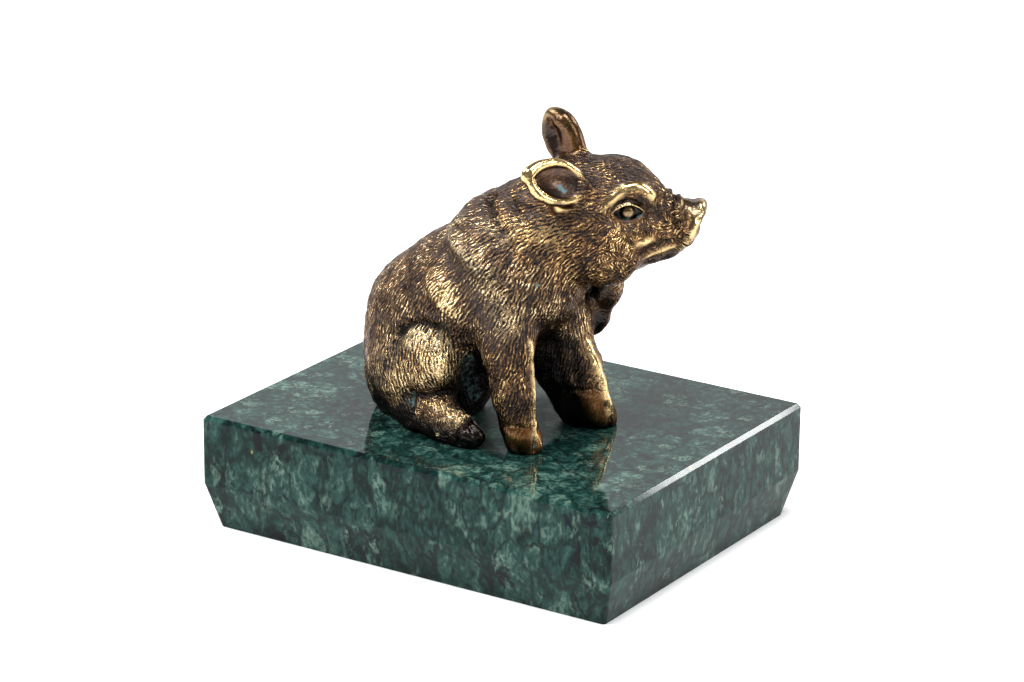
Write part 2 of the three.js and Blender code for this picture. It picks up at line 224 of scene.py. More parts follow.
@dataclass(frozen=True)
class Eye:
    """An almond eye in the folded head axes: lids and ball."""

    middle: Point = (4.85, 7.2, 1.95)
    inner: Point = (7.4, 6.4, 1.5)
    outer: Point = (2.1, 8.0, 1.85)
    facing: Point = (0.2, 0.977, 0.06)
    half_length: float = 2.65
    upper: float = 1.3
    lower: float = 1.2
    ball: float = 1.15
    bulge: float = 0.95
    sunk: float = 0.7
    reach: float = 4.6
    upper_lid: Band = Band(0.5, 0.15, 0.22)
    lower_lid: Band = Band(0.16, -0.3, 0.4)
    fold: Band = Band(-0.4, 0.85, 0.32)
    fold_shade: Band = Band(0.7, 0.8, 0.3)
    lid_shine: Band = Band(1.0, 0.15, 0.2)
    iris_shine: float = 0.22

    def flat(self, local: Array) -> Array:
        """Points in the eye's own axes: towards the snout, up, and out.

        Args:
            local: Points in the folded head axes.

        Returns:
            Points in the eye's axes.
        """
        out = np.array(self.facing) / np.linalg.norm(self.facing)
        ahead = np.array(self.inner) - np.array(self.outer)
        ahead = ahead - out * (ahead @ out)
        ahead = ahead / np.linalg.norm(ahead)
        up = np.cross(ahead, out)
        up = up * np.sign(up[2])
        return (local - np.array(self.middle)) @ np.array([ahead, up, out]).T

    def near(self, local: Array, reach: float) -> Array:
        """How close each point is to the eye, 1 at its middle and 0 beyond the reach."""
        return smooth_step(np.linalg.norm(local - np.array(self.middle), axis=1), reach, 0.55 * reach)

    def lift(self, local: Array) -> Array:
        """How far each point of the folded head rises for the eye.

        Args:
            local: Points in the folded head axes.

        Returns:
            Heights in millimetres.
        """
        over, under, taper, r = self.rims(local)
        inside = smooth_step(over, 0.15, -0.2) * smooth_step(under, -0.15, 0.2) * taper
        lids = self.upper_lid.at(over) + self.lower_lid.at(under)
        ball = self.bulge * np.sqrt(np.clip(1.0 - (r / self.ball) ** 2, 0.0, 1.0))
        worked = taper * (lids + self.fold.at(over)) + inside * (ball - self.sunk)
        return worked * self.near(local, self.reach)

    def rims(self, local: Array) -> tuple[Array, Array, Array, Array]:
        """Places points against the eye's lids.

        Args:
            local: Points in the folded head axes.

        Returns:
            Heights over the upper lid and over the lower lid, a share that fades towards the corners, and
            distances from the ball's middle.
        """
        ahead, up, _ = self.flat(local).T
        bow = 1.0 - (ahead / self.half_length) ** 2
        taper = smooth_step(np.abs(ahead), self.half_length + 0.5, self.half_length - 0.9)
        return up - self.upper * bow, up + self.lower * bow, taper, np.hypot(ahead - 0.1, up)

    def green_rim(self, local: Array) -> Array:
        """Where verdigris gathers along the lower lid, from 0 to 1.

        Args:
            local: Points in the folded head axes.

        Returns:
            Shares of verdigris.
        """
        ahead, up, _ = self.flat(local).T
        lid = bell(up + 1.1 * (1 - (ahead / 2.9) ** 2), 0.6) * smooth_step(np.abs(ahead), 3.4, 2.4)
        return 0.63 * lid * self.near(local, 4.4)

    def shade(self, local: Array) -> Array:
        """How dark the eye's slits and the fold over its lid are, from 0 to 1.

        Args:
            local: Points in the folded head axes.

        Returns:
            Shares of darkness.
        """
        over, under, taper, r = self.rims(local)
        inside = smooth_step(over, 0.1, -0.1) * smooth_step(under, -0.1, 0.1) * smooth_step(r, 0.6, self.ball)
        return np.maximum(inside, self.fold_shade.at(over)) * taper * self.near(local, self.reach)

    def glint(self, local: Array) -> Array:
        """Where the upper lid is rubbed bright and a highlight is painted on the ball, from 0 to 1.

        Args:
            local: Points in the folded head axes.

        Returns:
            Shares of shine.
        """
        over, _, taper, r = self.rims(local)
        lid = self.lid_shine.at(over) * taper
        # A painted highlight on the ball's middle.
        iris = self.iris_shine * smooth_step(r, 1.0, 0.5)
        return np.maximum(lid, iris) * self.near(local, 4.0)


@dataclass(frozen=True)
class Ear:
    """A dished leaf in the head's axes, with the same lines as its solid."""

    root: Point
    tip: Point
    width: float
    facing: Point
    rim: float = 1.5
    hollow: float = 0.55
    shift: tuple[float, float] = (0.0, 0.0)

    def flat(self, local: Array) -> Array:
        """Points in the leaf's axes: along it, across it and out of its hollow.

        Args:
            local: Points in the head's axes.

        Returns:
            Points in the leaf's axes.
        """
        along = np.array(self.tip) - np.array(self.root)
        along = along / np.linalg.norm(along)
        out = np.array(self.facing) - along * (np.array(self.facing) @ along)
        out = out / np.linalg.norm(out)
        return (local - np.array(self.root)) @ np.array([along, np.cross(out, along), out]).T

    def length(self) -> float:
        """The leaf's length from root to tip."""
        return float(np.linalg.norm(np.array(self.tip) - np.array(self.root)))

    def inset(self, local: Array) -> Array:
        """How far inside the leaf's outline each point lies, negative beyond it."""
        x, y, _ = self.flat(local).T
        return self.outline(x, y)

    def outline(self, x: Array, y: Array) -> Array:
        """How far inside the leaf's outline places on it lie.

        Args:
            x: Distances along the leaf.
            y: Distances across it.

        Returns:
            Distances from the outline, negative beyond it.
        """
        half = self.length() / 2
        bow = (half * half + self.width * self.width) / (2 * self.width)
        return bow - np.hypot(x - half, np.abs(y) + bow - self.width)

    def member(self, local: Array) -> Array:
        """How surely each point belongs to the ear and not to the head, from 0 to 1.

        Args:
            local: Points in the head's axes.

        Returns:
            Shares that fade at the ear's root.
        """
        x, _, z = self.flat(local).T
        inside = smooth_step(self.inset(local), -1.2, -0.4) * smooth_step(np.abs(z), 3.4, 2.4)
        return inside * smooth_step(x, 1.6, 3.4)

    def floor(self, local: Array) -> Array:
        """How deep each point lies in the ear's hollow, 0 on the rim and 1 on the hollow's floor.

        Args:
            local: Points in the head's axes.

        Returns:
            Shares of depth.
        """
        x, y, z = self.flat(local).T
        inset = self.outline(x + self.shift[0], y + self.shift[1])
        return smooth_step(inset, self.rim - 0.3, self.rim + 0.6) * smooth_step(z, -1.2, -0.2)

    def edges(self, local: Array) -> Array:
        """Where the leaf's outer edge and the hollow's edge are, from 0 to 1.

        Args:
            local: Points in the head's axes.

        Returns:
            Shares, largest on the edges and between them.
        """
        x, y, z = self.flat(local).T
        lip = self.outline(x + self.shift[0], y + self.shift[1]) - self.rim + 0.35
        front = smooth_step(z, -1.6, -0.6)
        inset = self.outline(x, y)
        edge = bell(inset, 0.6) * smooth_step(z, -2.4, -1.4)
        band = front * smooth_step(lip, 0.75, 0.1) * smooth_step(inset, -0.6, 0.0)
        return np.maximum(edge, band)


class Clay:
    """The figure's fine surface while it is being worked, in millimetres."""

    def __init__(self, mesh: bpy.types.Mesh) -> None:
        """Reads the surface from a mesh in metres.

        Args:
            mesh: The mesh, which store() and paint() write to.
        """
        self.mesh = mesh
        count = len(mesh.vertices)
        flat = np.zeros(3 * count)
        mesh.vertices.foreach_get("co", flat)
        self.points: Array = flat.reshape(-1, 3) / MM
        ends = np.zeros(2 * len(mesh.edges), int)
        mesh.edges.foreach_get("vertices", ends)
        self.ends: Array = ends.reshape(-1, 2)
        self.degree: Array = np.bincount(ends, minlength=count).astype(float)
        mesh.calc_loop_triangles()
        corners = np.zeros(3 * len(mesh.loop_triangles), int)
        mesh.loop_triangles.foreach_get("vertices", corners)
        self.corners: Array = corners.reshape(-1, 3)

    def normals(self) -> Array:
        """The surface's outward direction at every point.

        Returns:
            Unit vectors, one a row.
        """
        a, b, c = (self.points[self.corners[:, i]] for i in range(3))
        face = np.cross(b - a, c - a)
        total = np.zeros_like(self.points)
        for axis in range(3):
            for i in range(3):
                total[:, axis] += np.bincount(self.corners[:, i], face[:, axis], len(self.points))
        return total / np.maximum(np.linalg.norm(total, axis=1, keepdims=True), 1e-12)

    def blur(self, values: Array, passes: int) -> Array:
        """Spreads values evenly over the surface.

        Args:
            values: One number or one vector for every point.
            passes: How many times each point takes the mean of its neighbours.

        Returns:
            The spread values.
        """
        columns = values.reshape(len(values), -1).T.copy()
        one, two = self.ends.T
        for _ in range(passes):
            for row in columns:
                around = np.bincount(one, row[two], len(row)) + np.bincount(two, row[one], len(row))
                row[:] = 0.5 * row + 0.5 * around / self.degree
        return columns.T.reshape(values.shape)

    def raise_by(self, heights: Array) -> None:
        """Moves every point out along the surface's direction there."""
        self.points += self.normals() * heights[:, None]

    def calm(self, amount: Array, passes: int) -> None:
        """Smooths the surface where the amount is above 0."""
        self.points += amount[:, None] * (self.blur(self.points, passes) - self.points)

    def hollowness(self, passes: int) -> Array:
        """How far each point lies below its surroundings, in millimetres."""
        return ((self.blur(self.points, passes) - self.points) * self.normals()).sum(1)

    def store(self) -> None:
        """Writes the points back to the mesh in metres."""
        self.mesh.vertices.foreach_set("co", (self.points * MM).ravel())
        self.mesh.update()

    def paint(self, name: str, values: Array) -> None:
        """Keeps a number or a direction at every point of the mesh for its finish to read.

        Args:
            name: The mark's name.
            values: One number or one vector for every point.
        """
        kind, slot = ("FLOAT", "value") if values.ndim == 1 else ("FLOAT_VECTOR", "vector")
        layer = self.mesh.attributes.new(name, kind, "POINT")
        layer.data.foreach_set(slot, values.astype(np.float32).ravel())


@dataclass(frozen=True)
class Coat:
    """The chiselled hair: overlapping tufts laid along the lie of the coat.

    A guide is a place on the near side, the way that the hair lies there, and the size of its tufts.
    """

    head: HeadFrame
    spine: float = -5.5
    long: float = 1.45
    wide: float = 0.62
    gap_along: float = 0.72
    gap_across: float = 0.78
    head_size: float = 0.85
    neighbours: int = 12
    reach: float = 6.5
    seed: int = 11
    guides: tuple[tuple[Point, Point, float], ...] = (
        ((-19.0, -9.0, 42.0), (-0.35, 0.0, -1.0), 0.85),
        ((-16.0, -14.0, 30.0), (-0.1, 0.0, -1.0), 1.0),
        ((-9.0, -18.0, 32.0), (0.05, 0.0, -1.0), 1.1),
        ((-1.5, -17.5, 34.0), (0.35, 0.0, -1.0), 1.0),
        ((-9.0, -16.0, 45.0), (-0.45, 0.0, -0.9), 0.9),
        ((0.0, -17.5, 44.0), (-0.8, 0.0, -0.6), 0.95),
        ((-9.0, -6.0, 54.0), (-0.9, 0.0, -0.5), 0.8),
        ((8.0, -16.0, 50.0), (-0.4, 0.0, -0.9), 1.15),
        ((2.0, -11.0, 58.0), (-0.8, 0.0, -0.5), 0.9),
        ((12.0, -15.0, 42.0), (-0.35, 0.0, -1.0), 1.15),
        ((12.0, -17.0, 31.0), (-0.5, 0.0, -1.0), 1.1),
        ((18.0, -8.0, 45.0), (-0.3, 0.1, -1.0), 1.1),
        ((14.0, -13.0, 56.0), (-0.95, -0.2, -0.4), 1.25),
        ((0.0, -18.0, 24.0), (0.9, 0.0, -0.35), 0.8),
        ((12.0, 8.0, 38.0), (0.2, 0.0, -1.0), 0.9),
    )

    def lie(self, points: Array, normals: Array) -> tuple[Array, Array]:
        """The direction and size of the hair at every point.

        Args:
            points: Points in millimetres.
            normals: The surface's directions there.

        Returns:
            A direction along the surface, and a scale for the tufts.
        """
        flow = np.zeros_like(points)
        scale = np.zeros(len(points))
        weight = np.full(len(points), 1e-9)
        folded = points.copy()
        folded[:, 1] = self.spine - np.abs(points[:, 1] - self.spine)
        for place, way, size in self.guides:
            here = points if place[1] > 0 else folded
            share = np.exp(-((here - np.array(place)) ** 2).sum(1) / (2 * self.reach**2))
            side = np.where(points[:, 1] > self.spine, -1.0, 1.0)
            for axis in range(3):
                flow[:, axis] += share * way[axis] * (side if axis == 1 else 1.0)
            scale += share * size
            weight += share
        local = self.head.local(points)
        on_head = smooth_step(self.head.reach(local), 15.0, 9.5)
        back = self.head.axes()[0] * -1.0
        down = np.array([0.0, 0.0, -1.0])
        side_on = smooth_step(np.abs(local[:, 1]), 3.0, 8.0)
        drop = 0.9 * side_on * smooth_step(local[:, 2], 4.0, -6.0)
        head_flow = back[None, :] + down[None, :] * drop[:, None]
        flow = flow / weight[:, None]
        flow = flow * (1 - on_head)[:, None] + head_flow * on_head[:, None]
        scale = scale / weight * (1 - on_head) + self.head_size * on_head
        flow -= normals * (flow * normals).sum(1)[:, None]
        return flow / np.maximum(np.linalg.norm(flow, axis=1, keepdims=True), 1e-9), scale

    def roots(self, points: Array, flow: Array, scale: Array, rng: np.random.Generator) -> Array:
        """Picks where tufts grow, spaced closely across the hair and widely along it.

        Args:
            points: Points in millimetres.
            flow: The hair's direction at every point.
            scale: The tufts' size at every point.
            rng: The source of the scatter.

        Returns:
            Indices of the chosen points.
        """
        cell = self.long * 0.75
        grid: dict[tuple[int, int, int], list[int]] = {}
        keys = np.floor(points / cell).astype(int)
        chosen: list[int] = []
        around = [(i, j, k) for i in (-1, 0, 1) for j in (-1, 0, 1) for k in (-1, 0, 1)]
        for index in rng.permutation(len(points)):
            x, y, z = keys[index]
            near = [n for i, j, k in around for n in grid.get((x + i, y + j, z + k), ())]
            if near:
                offset = points[near] - points[index]
                along = offset @ flow[index]
                across = np.sqrt(np.maximum((offset**2).sum(1) - along**2, 0.0))
                crowd = (along / (self.gap_along * self.long)) ** 2 + (across / (self.gap_across * self.wide)) ** 2
                if crowd.min() < scale[index] ** 2:
                    continue
            grid.setdefault((x, y, z), []).append(int(index))
            chosen.append(int(index))
        return np.array(chosen)

    def relief(self, clay: Clay, worm: Array) -> Array:
        """The height of the hair at every point, from 0 in its grooves to about 1 on its tufts.

        Args:
            clay: The surface that the hair grows on.
            worm: Where the hair is short and curls every way, from 0 to 1.

        Returns:
            Heights without a unit.
        """
        rng = np.random.default_rng(self.seed)
        normals = clay.normals()
        flow, scale = self.lie(clay.points, normals)
        roots = self.roots(clay.points, flow, scale, rng)
        turn = rng.normal(0.0, 0.22, len(roots)) + worm[roots] * rng.uniform(-1.3, 1.3, len(roots))
        side = np.cross(normals[roots], flow[roots])
        way = flow[roots] * np.cos(turn)[:, None] + side * np.sin(turn)[:, None]
        across = np.cross(normals[roots], way)
        size = scale[roots]
        length = self.long * size * rng.uniform(0.75, 1.5, len(roots)) * (1 - 0.35 * worm[roots])
        width = self.wide * size * rng.uniform(0.8, 1.25, len(roots))
        bend = rng.normal(0.0, 0.16, len(roots))
        crest = rng.uniform(0.6, 1.0, len(roots))
        tree = KDTree(len(roots))
        for i, index in enumerate(roots):
            tree.insert(clay.points[index], i)
        tree.balance()
        height = np.zeros(len(clay.points))
        near = np.array([[n[1] for n in tree.find_n(p, self.neighbours)] for p in clay.points])
        for column in near.T:
            offset = clay.points - clay.points[roots[column]]
            s = (offset * way[column]).sum(1) / length[column]
            t = ((offset * across[column]).sum(1) - bend[column] * s * s) / width[column]
            tuft = np.clip(1.0 - s * s * (0.8 + 0.35 * np.sign(s)) - t * t, 0.0, 1.0)
            height = np.maximum(height, crest[column] * np.sqrt(tuft) * (0.85 + 0.15 * s))
        return height


class Bench:
    """Lays out the nodes of one material."""

    # The colour sockets of a Mix node share their names with its other sockets, so they are found by place.
    MIX_UNDER, MIX_OVER, MIX_RESULT = 6, 7, 2

    def __init__(self, name: str) -> None:
        """Starts an empty material.

        Args:
            name: The material's name.
        """
        self.material = bpy.data.materials.new(name)
        self.material.use_nodes = True
        self.tree = self.material.node_tree
        self.tree.nodes.clear()

    def node(self, kind: str, **settings: object) -> bpy.types.Node:
        """Adds a node and sets its properties.

        Args:
            kind: The node's type.
            **settings: Its properties and their values.

        Returns:
            The node.
        """
        made = self.tree.nodes.new(kind)
        for name, value in settings.items():
            setattr(made, name, value)
        return made

    def feed(self, socket: Socket, value: object) -> None:
        """Links a socket's source to it, or sets its own value."""
        if isinstance(value, bpy.types.NodeSocket):
            self.tree.links.new(value, socket)
        else:
            socket.default_value = value

    def mark(self, name: str) -> Socket:
        """One of the numbers that the mesh keeps at its points."""
        return self.node("ShaderNodeAttribute", attribute_name=name).outputs["Fac"]

    def way(self, name: str) -> Socket:
        """One of the directions that the mesh keeps at its points."""
        return self.node("ShaderNodeAttribute", attribute_name=name).outputs["Vector"]

    def strokes(self, where: Socket, across: Socket, length: float, count: Socket) -> Socket:
        """Short ridges side by side.

        Args:
            where: Coordinates in metres.
            across: The direction across the ridges.
            length: Their length in metres.
            count: How many lie side by side within that length.

        Returns:
            A height from 0 to 1.
        """
        made = self.node("ShaderNodeTexGabor", gabor_type="3D")
        self.feed(made.inputs["Vector"], where)
        made.inputs["Scale"].default_value = 1.0 / length
        self.feed(made.inputs["Frequency"], count)
        made.inputs["Anisotropy"].default_value = 1.0
        self.feed(next(s for s in made.inputs if s.identifier == "Orientation 3D"), across)
        return made.outputs["Value"]

    def ramp(self, value: Socket, stops: tuple[tuple[float, Colour], ...]) -> Socket:
        """Turns a number into a colour.

        Args:
            value: The number, from 0 to 1.
            stops: Numbers and the colours at them, in rising order.

        Returns:
            The colour.
        """
        made = self.node("ShaderNodeValToRGB")
        self.feed(made.inputs["Fac"], value)
        elements = made.color_ramp.elements
        for spot, _ in stops[1:-1]:
            elements.new(spot)
        for element, (spot, colour) in zip(elements, stops):
            element.position, element.color = spot, colour
        return made.outputs["Color"]

    def place(self, scale: Point = (1.0, 1.0, 1.0), turn: Point = (0.0, 0.0, 0.0)) -> Socket:
        """The object's own coordinates, turned and scaled.

        Args:
            scale: Factors along the axes.
            turn: Angles about the axes, in radians.

        Returns:
            Coordinates in metres.
        """
        mapping = self.node("ShaderNodeMapping")
        self.feed(mapping.inputs["Vector"], self.node("ShaderNodeTexCoord").outputs["Object"])
        mapping.inputs["Scale"].default_value = scale
        mapping.inputs["Rotation"].default_value = turn
        return mapping.outputs["Vector"]

    def noise(self, where: Socket, size: float, detail: float = 4.0, twist: float = 0.0) -> Socket:
        """A cloudy pattern.

        Args:
            where: Coordinates in metres.
            size: The size of its clouds in metres.
            detail: How many finer layers it has.
            twist: How strongly it is distorted.

        Returns:
            A number from 0 to 1.
        """
        made = self.node("ShaderNodeTexNoise")
        self.feed(made.inputs["Vector"], where)
        made.inputs["Scale"].default_value = 1.0 / size
        made.inputs["Detail"].default_value = detail
        made.inputs["Distortion"].default_value = twist
        return made.outputs["Fac"]

    def warped(self, where: Socket, size: float, push: float) -> Socket:
        """Coordinates pushed about, so that straight edges turn ragged.

        Args:
            where: Coordinates in metres.
            size: The size of the swirls in metres.
            push: How far they push, in metres.

        Returns:
            The new coordinates.
        """
        swirl = self.node("ShaderNodeTexNoise")
        self.feed(swirl.inputs["Vector"], where)
        swirl.inputs["Scale"].default_value = 1.0 / size
        swirl.inputs["Detail"].default_value = 5.0
        pushed = self.node("ShaderNodeVectorMath", operation="MULTIPLY_ADD")
        self.feed(pushed.inputs[0], swirl.outputs["Color"])
        pushed.inputs[1].default_value = (push, push, push)
        self.feed(pushed.inputs[2], where)
        return pushed.outputs[0]

    def calc(self, kind: str, one: object, two: object = 0.0) -> Socket:
        """A sum of two numbers or another operation on them.

        Args:
            kind: The operation.
            one: The first number or its source.
            two: The second number or its source.

        Returns:
            The result, which sums, differences and products clamp to 0 to 1.
        """
        made = self.node("ShaderNodeMath", operation=kind, use_clamp=kind in ("ADD", "MULTIPLY", "SUBTRACT"))
        self.feed(made.inputs[0], one)
        self.feed(made.inputs[1], two)
        return made.outputs[0]

    def span(self, value: Socket, low: float, high: float, to: tuple[float, float] = (0.0, 1.0)) -> Socket:
        """Maps a number smoothly from one range to another.

        Args:
            value: The number.
            low: Where its own range starts.
            high: Where its own range ends.
            to: The range that it is mapped to.

        Returns:
            The mapped number.
        """
        made = self.node("ShaderNodeMapRange", interpolation_type="SMOOTHSTEP")
        self.feed(made.inputs["Value"], value)
        made.inputs["From Min"].default_value = low
        made.inputs["From Max"].default_value = high
        made.inputs["To Min"].default_value = to[0]
        made.inputs["To Max"].default_value = to[1]
        return made.outputs["Result"]

    def tint(self, amount: object, under: object, over: object, blend: Blend = Blend.MIX) -> Socket:
        """Lays one colour over another.

        Args:
            amount: How much of the upper colour shows.
            under: The lower colour.
            over: The upper colour.
            blend: How it is laid on.

        Returns:
            The colour that results.
        """
        made = self.node("ShaderNodeMix", data_type="RGBA", blend_type=blend.value)
        self.feed(made.inputs[0], amount)
        self.feed(made.inputs[self.MIX_UNDER], under)
        self.feed(made.inputs[self.MIX_OVER], over)
        return made.outputs[self.MIX_RESULT]

    def bump(self, height: Socket, depth: float, strength: float = 1.0, under: Socket | None = None) -> Socket:
        """A shading normal from a height.

        Args:
            height: The height from 0 to 1.
            depth: What a height of 1 stands for, in metres.
            strength: How much of it shows.
            under: A shading normal to build on.

        Returns:
            The normal.
        """
        made = self.node("ShaderNodeBump")
        made.inputs["Strength"].default_value = strength
        made.inputs["Distance"].default_value = depth
        self.feed(made.inputs["Height"], height)
        if under is not None:
            self.feed(made.inputs["Normal"], under)
        return made.outputs["Normal"]

    def shader(self, **values: object) -> bpy.types.Material:
        """Ends the material with one surface shader.

        Args:
            **values: Socket names, with _ for a space, and their values or sources.

        Returns:
            The finished material.
        """
        surface = self.node("ShaderNodeBsdfPrincipled")
        for name, value in values.items():
            self.feed(surface.inputs[name.replace("_", " ")], value)
        end = self.node("ShaderNodeOutputMaterial")
        self.tree.links.new(surface.outputs[0], end.inputs["Surface"])
        return self.material


@dataclass(frozen=True)
class BronzeFinish:
    """Cast bronze: dark patina in grooves, rubbed gold on ridges, verdigris in hollows, painted shade and
    highlights.
    """

    # The near-black of the patina in the grooves, also laid as painted shade.
    pit: Colour = (0.007, 0.005, 0.005, 1.0)
    brown: Colour = (0.055, 0.031, 0.019, 1.0)
    amber: Colour = (0.235, 0.128, 0.048, 1.0)
    gold: Colour = (0.9, 0.72, 0.42, 1.0)
    rust: Colour = (0.19, 0.08, 0.02, 1.0)
    # Dull purple brown of patina, also laid as painted shade.
    purple_patina_and_shade: Colour = (0.055, 0.039, 0.035, 1.0)
    verdigris: Colour = (0.11, 0.20, 0.20, 1.0)
    edge: Colour = (0.5, 0.42, 0.38, 1.0)
    honey: Colour = (0.97, 0.84, 0.62, 1.0)
    stops: tuple[float, ...] = (0.31, 0.505, 0.675, 0.835)
    pitch: float = 0.00062
    stroke: float = 0.00105
    cut: float = 0.0003
    grain: float = 0.00007
    swirl: float = 0.0009
    push: float = 0.0007
    cloud: float = 0.004
    fleck: float = 0.0006
    crust: float = 0.0008
    tooth: float = 0.0004
    bare_rough: float = 0.3
    coat_rough: tuple[float, float] = (0.46, 0.14)
    shine_rough: float = 0.15
    crust_rough: float = 0.8

    def material(self) -> bpy.types.Material:
        """Makes the bronze.

        Returns:
            The material, which reads the marks that the figure's mesh keeps.
        """
        bench = Bench("cast_bronze")
        where = bench.place()
        shaken = bench.warped(where, self.swirl, self.push)
        cloud = bench.noise(where, self.cloud, 5.0, 0.4)
        fine = bench.noise(where, self.fleck, 4.0)
        hair, relief, warm = bench.mark("hair"), bench.mark("relief"), bench.mark("warm")
        count = self.stroke / self.pitch
        count = bench.span(bench.mark("finer"), 0.0, 1.0, (count, 1.5 * count))
        stroke = bench.strokes(shaken, bench.way("across"), self.stroke, count)
        rows = bench.span(stroke, 0.25, 0.75, (0.0, 0.64))
        cuts = bench.calc("ADD", rows, bench.span(fine, 0.3, 0.7, (0.0, 0.36)))
        share = bench.calc("MULTIPLY", cuts, 0.66)
        chisel = bench.calc("ADD", share, bench.span(relief, 0.1, 0.95, (0.0, 0.34)))
        tone = bench.calc("ADD", chisel, bench.span(cloud, 0.3, 0.7, (-0.12, 0.1)))
        tone = bench.calc("ADD", tone, bench.span(warm, 0.0, 1.0, (-0.06, 0.14)))
        coat = bench.ramp(tone, tuple(zip(self.stops, (self.pit, self.brown, self.amber, self.gold))))
        glow = bench.calc("ADD", cloud, bench.span(warm, 0.0, 1.0, (-0.1, 0.35)))
        skin = bench.ramp(glow, ((0.25, self.brown), (0.85, self.rust)))
        colour = bench.tint(hair, skin, coat)
        colour = bench.tint(bench.mark("honey"), colour, self.honey, Blend.MULTIPLY)
        # Painted shade and patina: this mark tints the bronze dull purple brown, less on the hair's bright ridges.
        dimmed = bench.calc("MULTIPLY", bench.mark("purple_patina_and_shade"), bench.span(tone, 0.85, 0.5))
        colour = bench.tint(dimmed, colour, self.purple_patina_and_shade)
        # Rubbed gold, with painted highlights on the eye's ball, the neck ridge and the hind toe.
        polish = bench.calc("MULTIPLY", bench.mark("polish"), bench.span(fine, 0.25, 0.55, (0.65, 1.0)))
        gaps = bench.calc("MULTIPLY", hair, bench.span(chisel, 0.55, 0.2))
        polish = bench.calc("SUBTRACT", polish, gaps)
        shine = bench.tint(bench.mark("honey"), self.gold, self.honey, Blend.MULTIPLY)
        colour = bench.tint(polish, colour, shine)
        # Painted shade and dark patina: this mark blackens grooves, folds, creases and sheltered places.
        colour = bench.tint(bench.mark("depth"), colour, self.pit)
        crust = bench.calc("MULTIPLY", bench.noise(where, self.crust, 4.0, 0.6), 0.6)
        crust = bench.calc("ADD", crust, bench.calc("MULTIPLY", bench.mark("verdigris"), 0.6))
        bloom = bench.span(crust, 0.62, 0.84)
        colour = bench.tint(bloom, colour, self.verdigris)
        rough = bench.tint(hair, grey(self.bare_rough), bench.span(tone, 0.2, 0.85, self.coat_rough))
        rough = bench.tint(polish, rough, grey(self.shine_rough))
        rough = bench.tint(bloom, rough, grey(self.crust_rough))
        metal = bench.calc("SUBTRACT", 1.0, bench.calc("MULTIPLY", bloom, 0.85))
        grain = bench.bump(bench.noise(where, self.tooth, 4.0, 0.5), self.grain, 0.6)
        carved = bench.bump(bench.calc("MULTIPLY", cuts, hair), self.cut, 1.0, grain)
        return bench.shader(
            Base_Color=colour,
            Roughness=rough,
            Metallic=metal,
            Normal=carved,
            Specular_Tint=self.edge,
            Coat_Weight=0.35,
            Coat_Roughness=0.14,
            Coat_Normal=carved,
        )


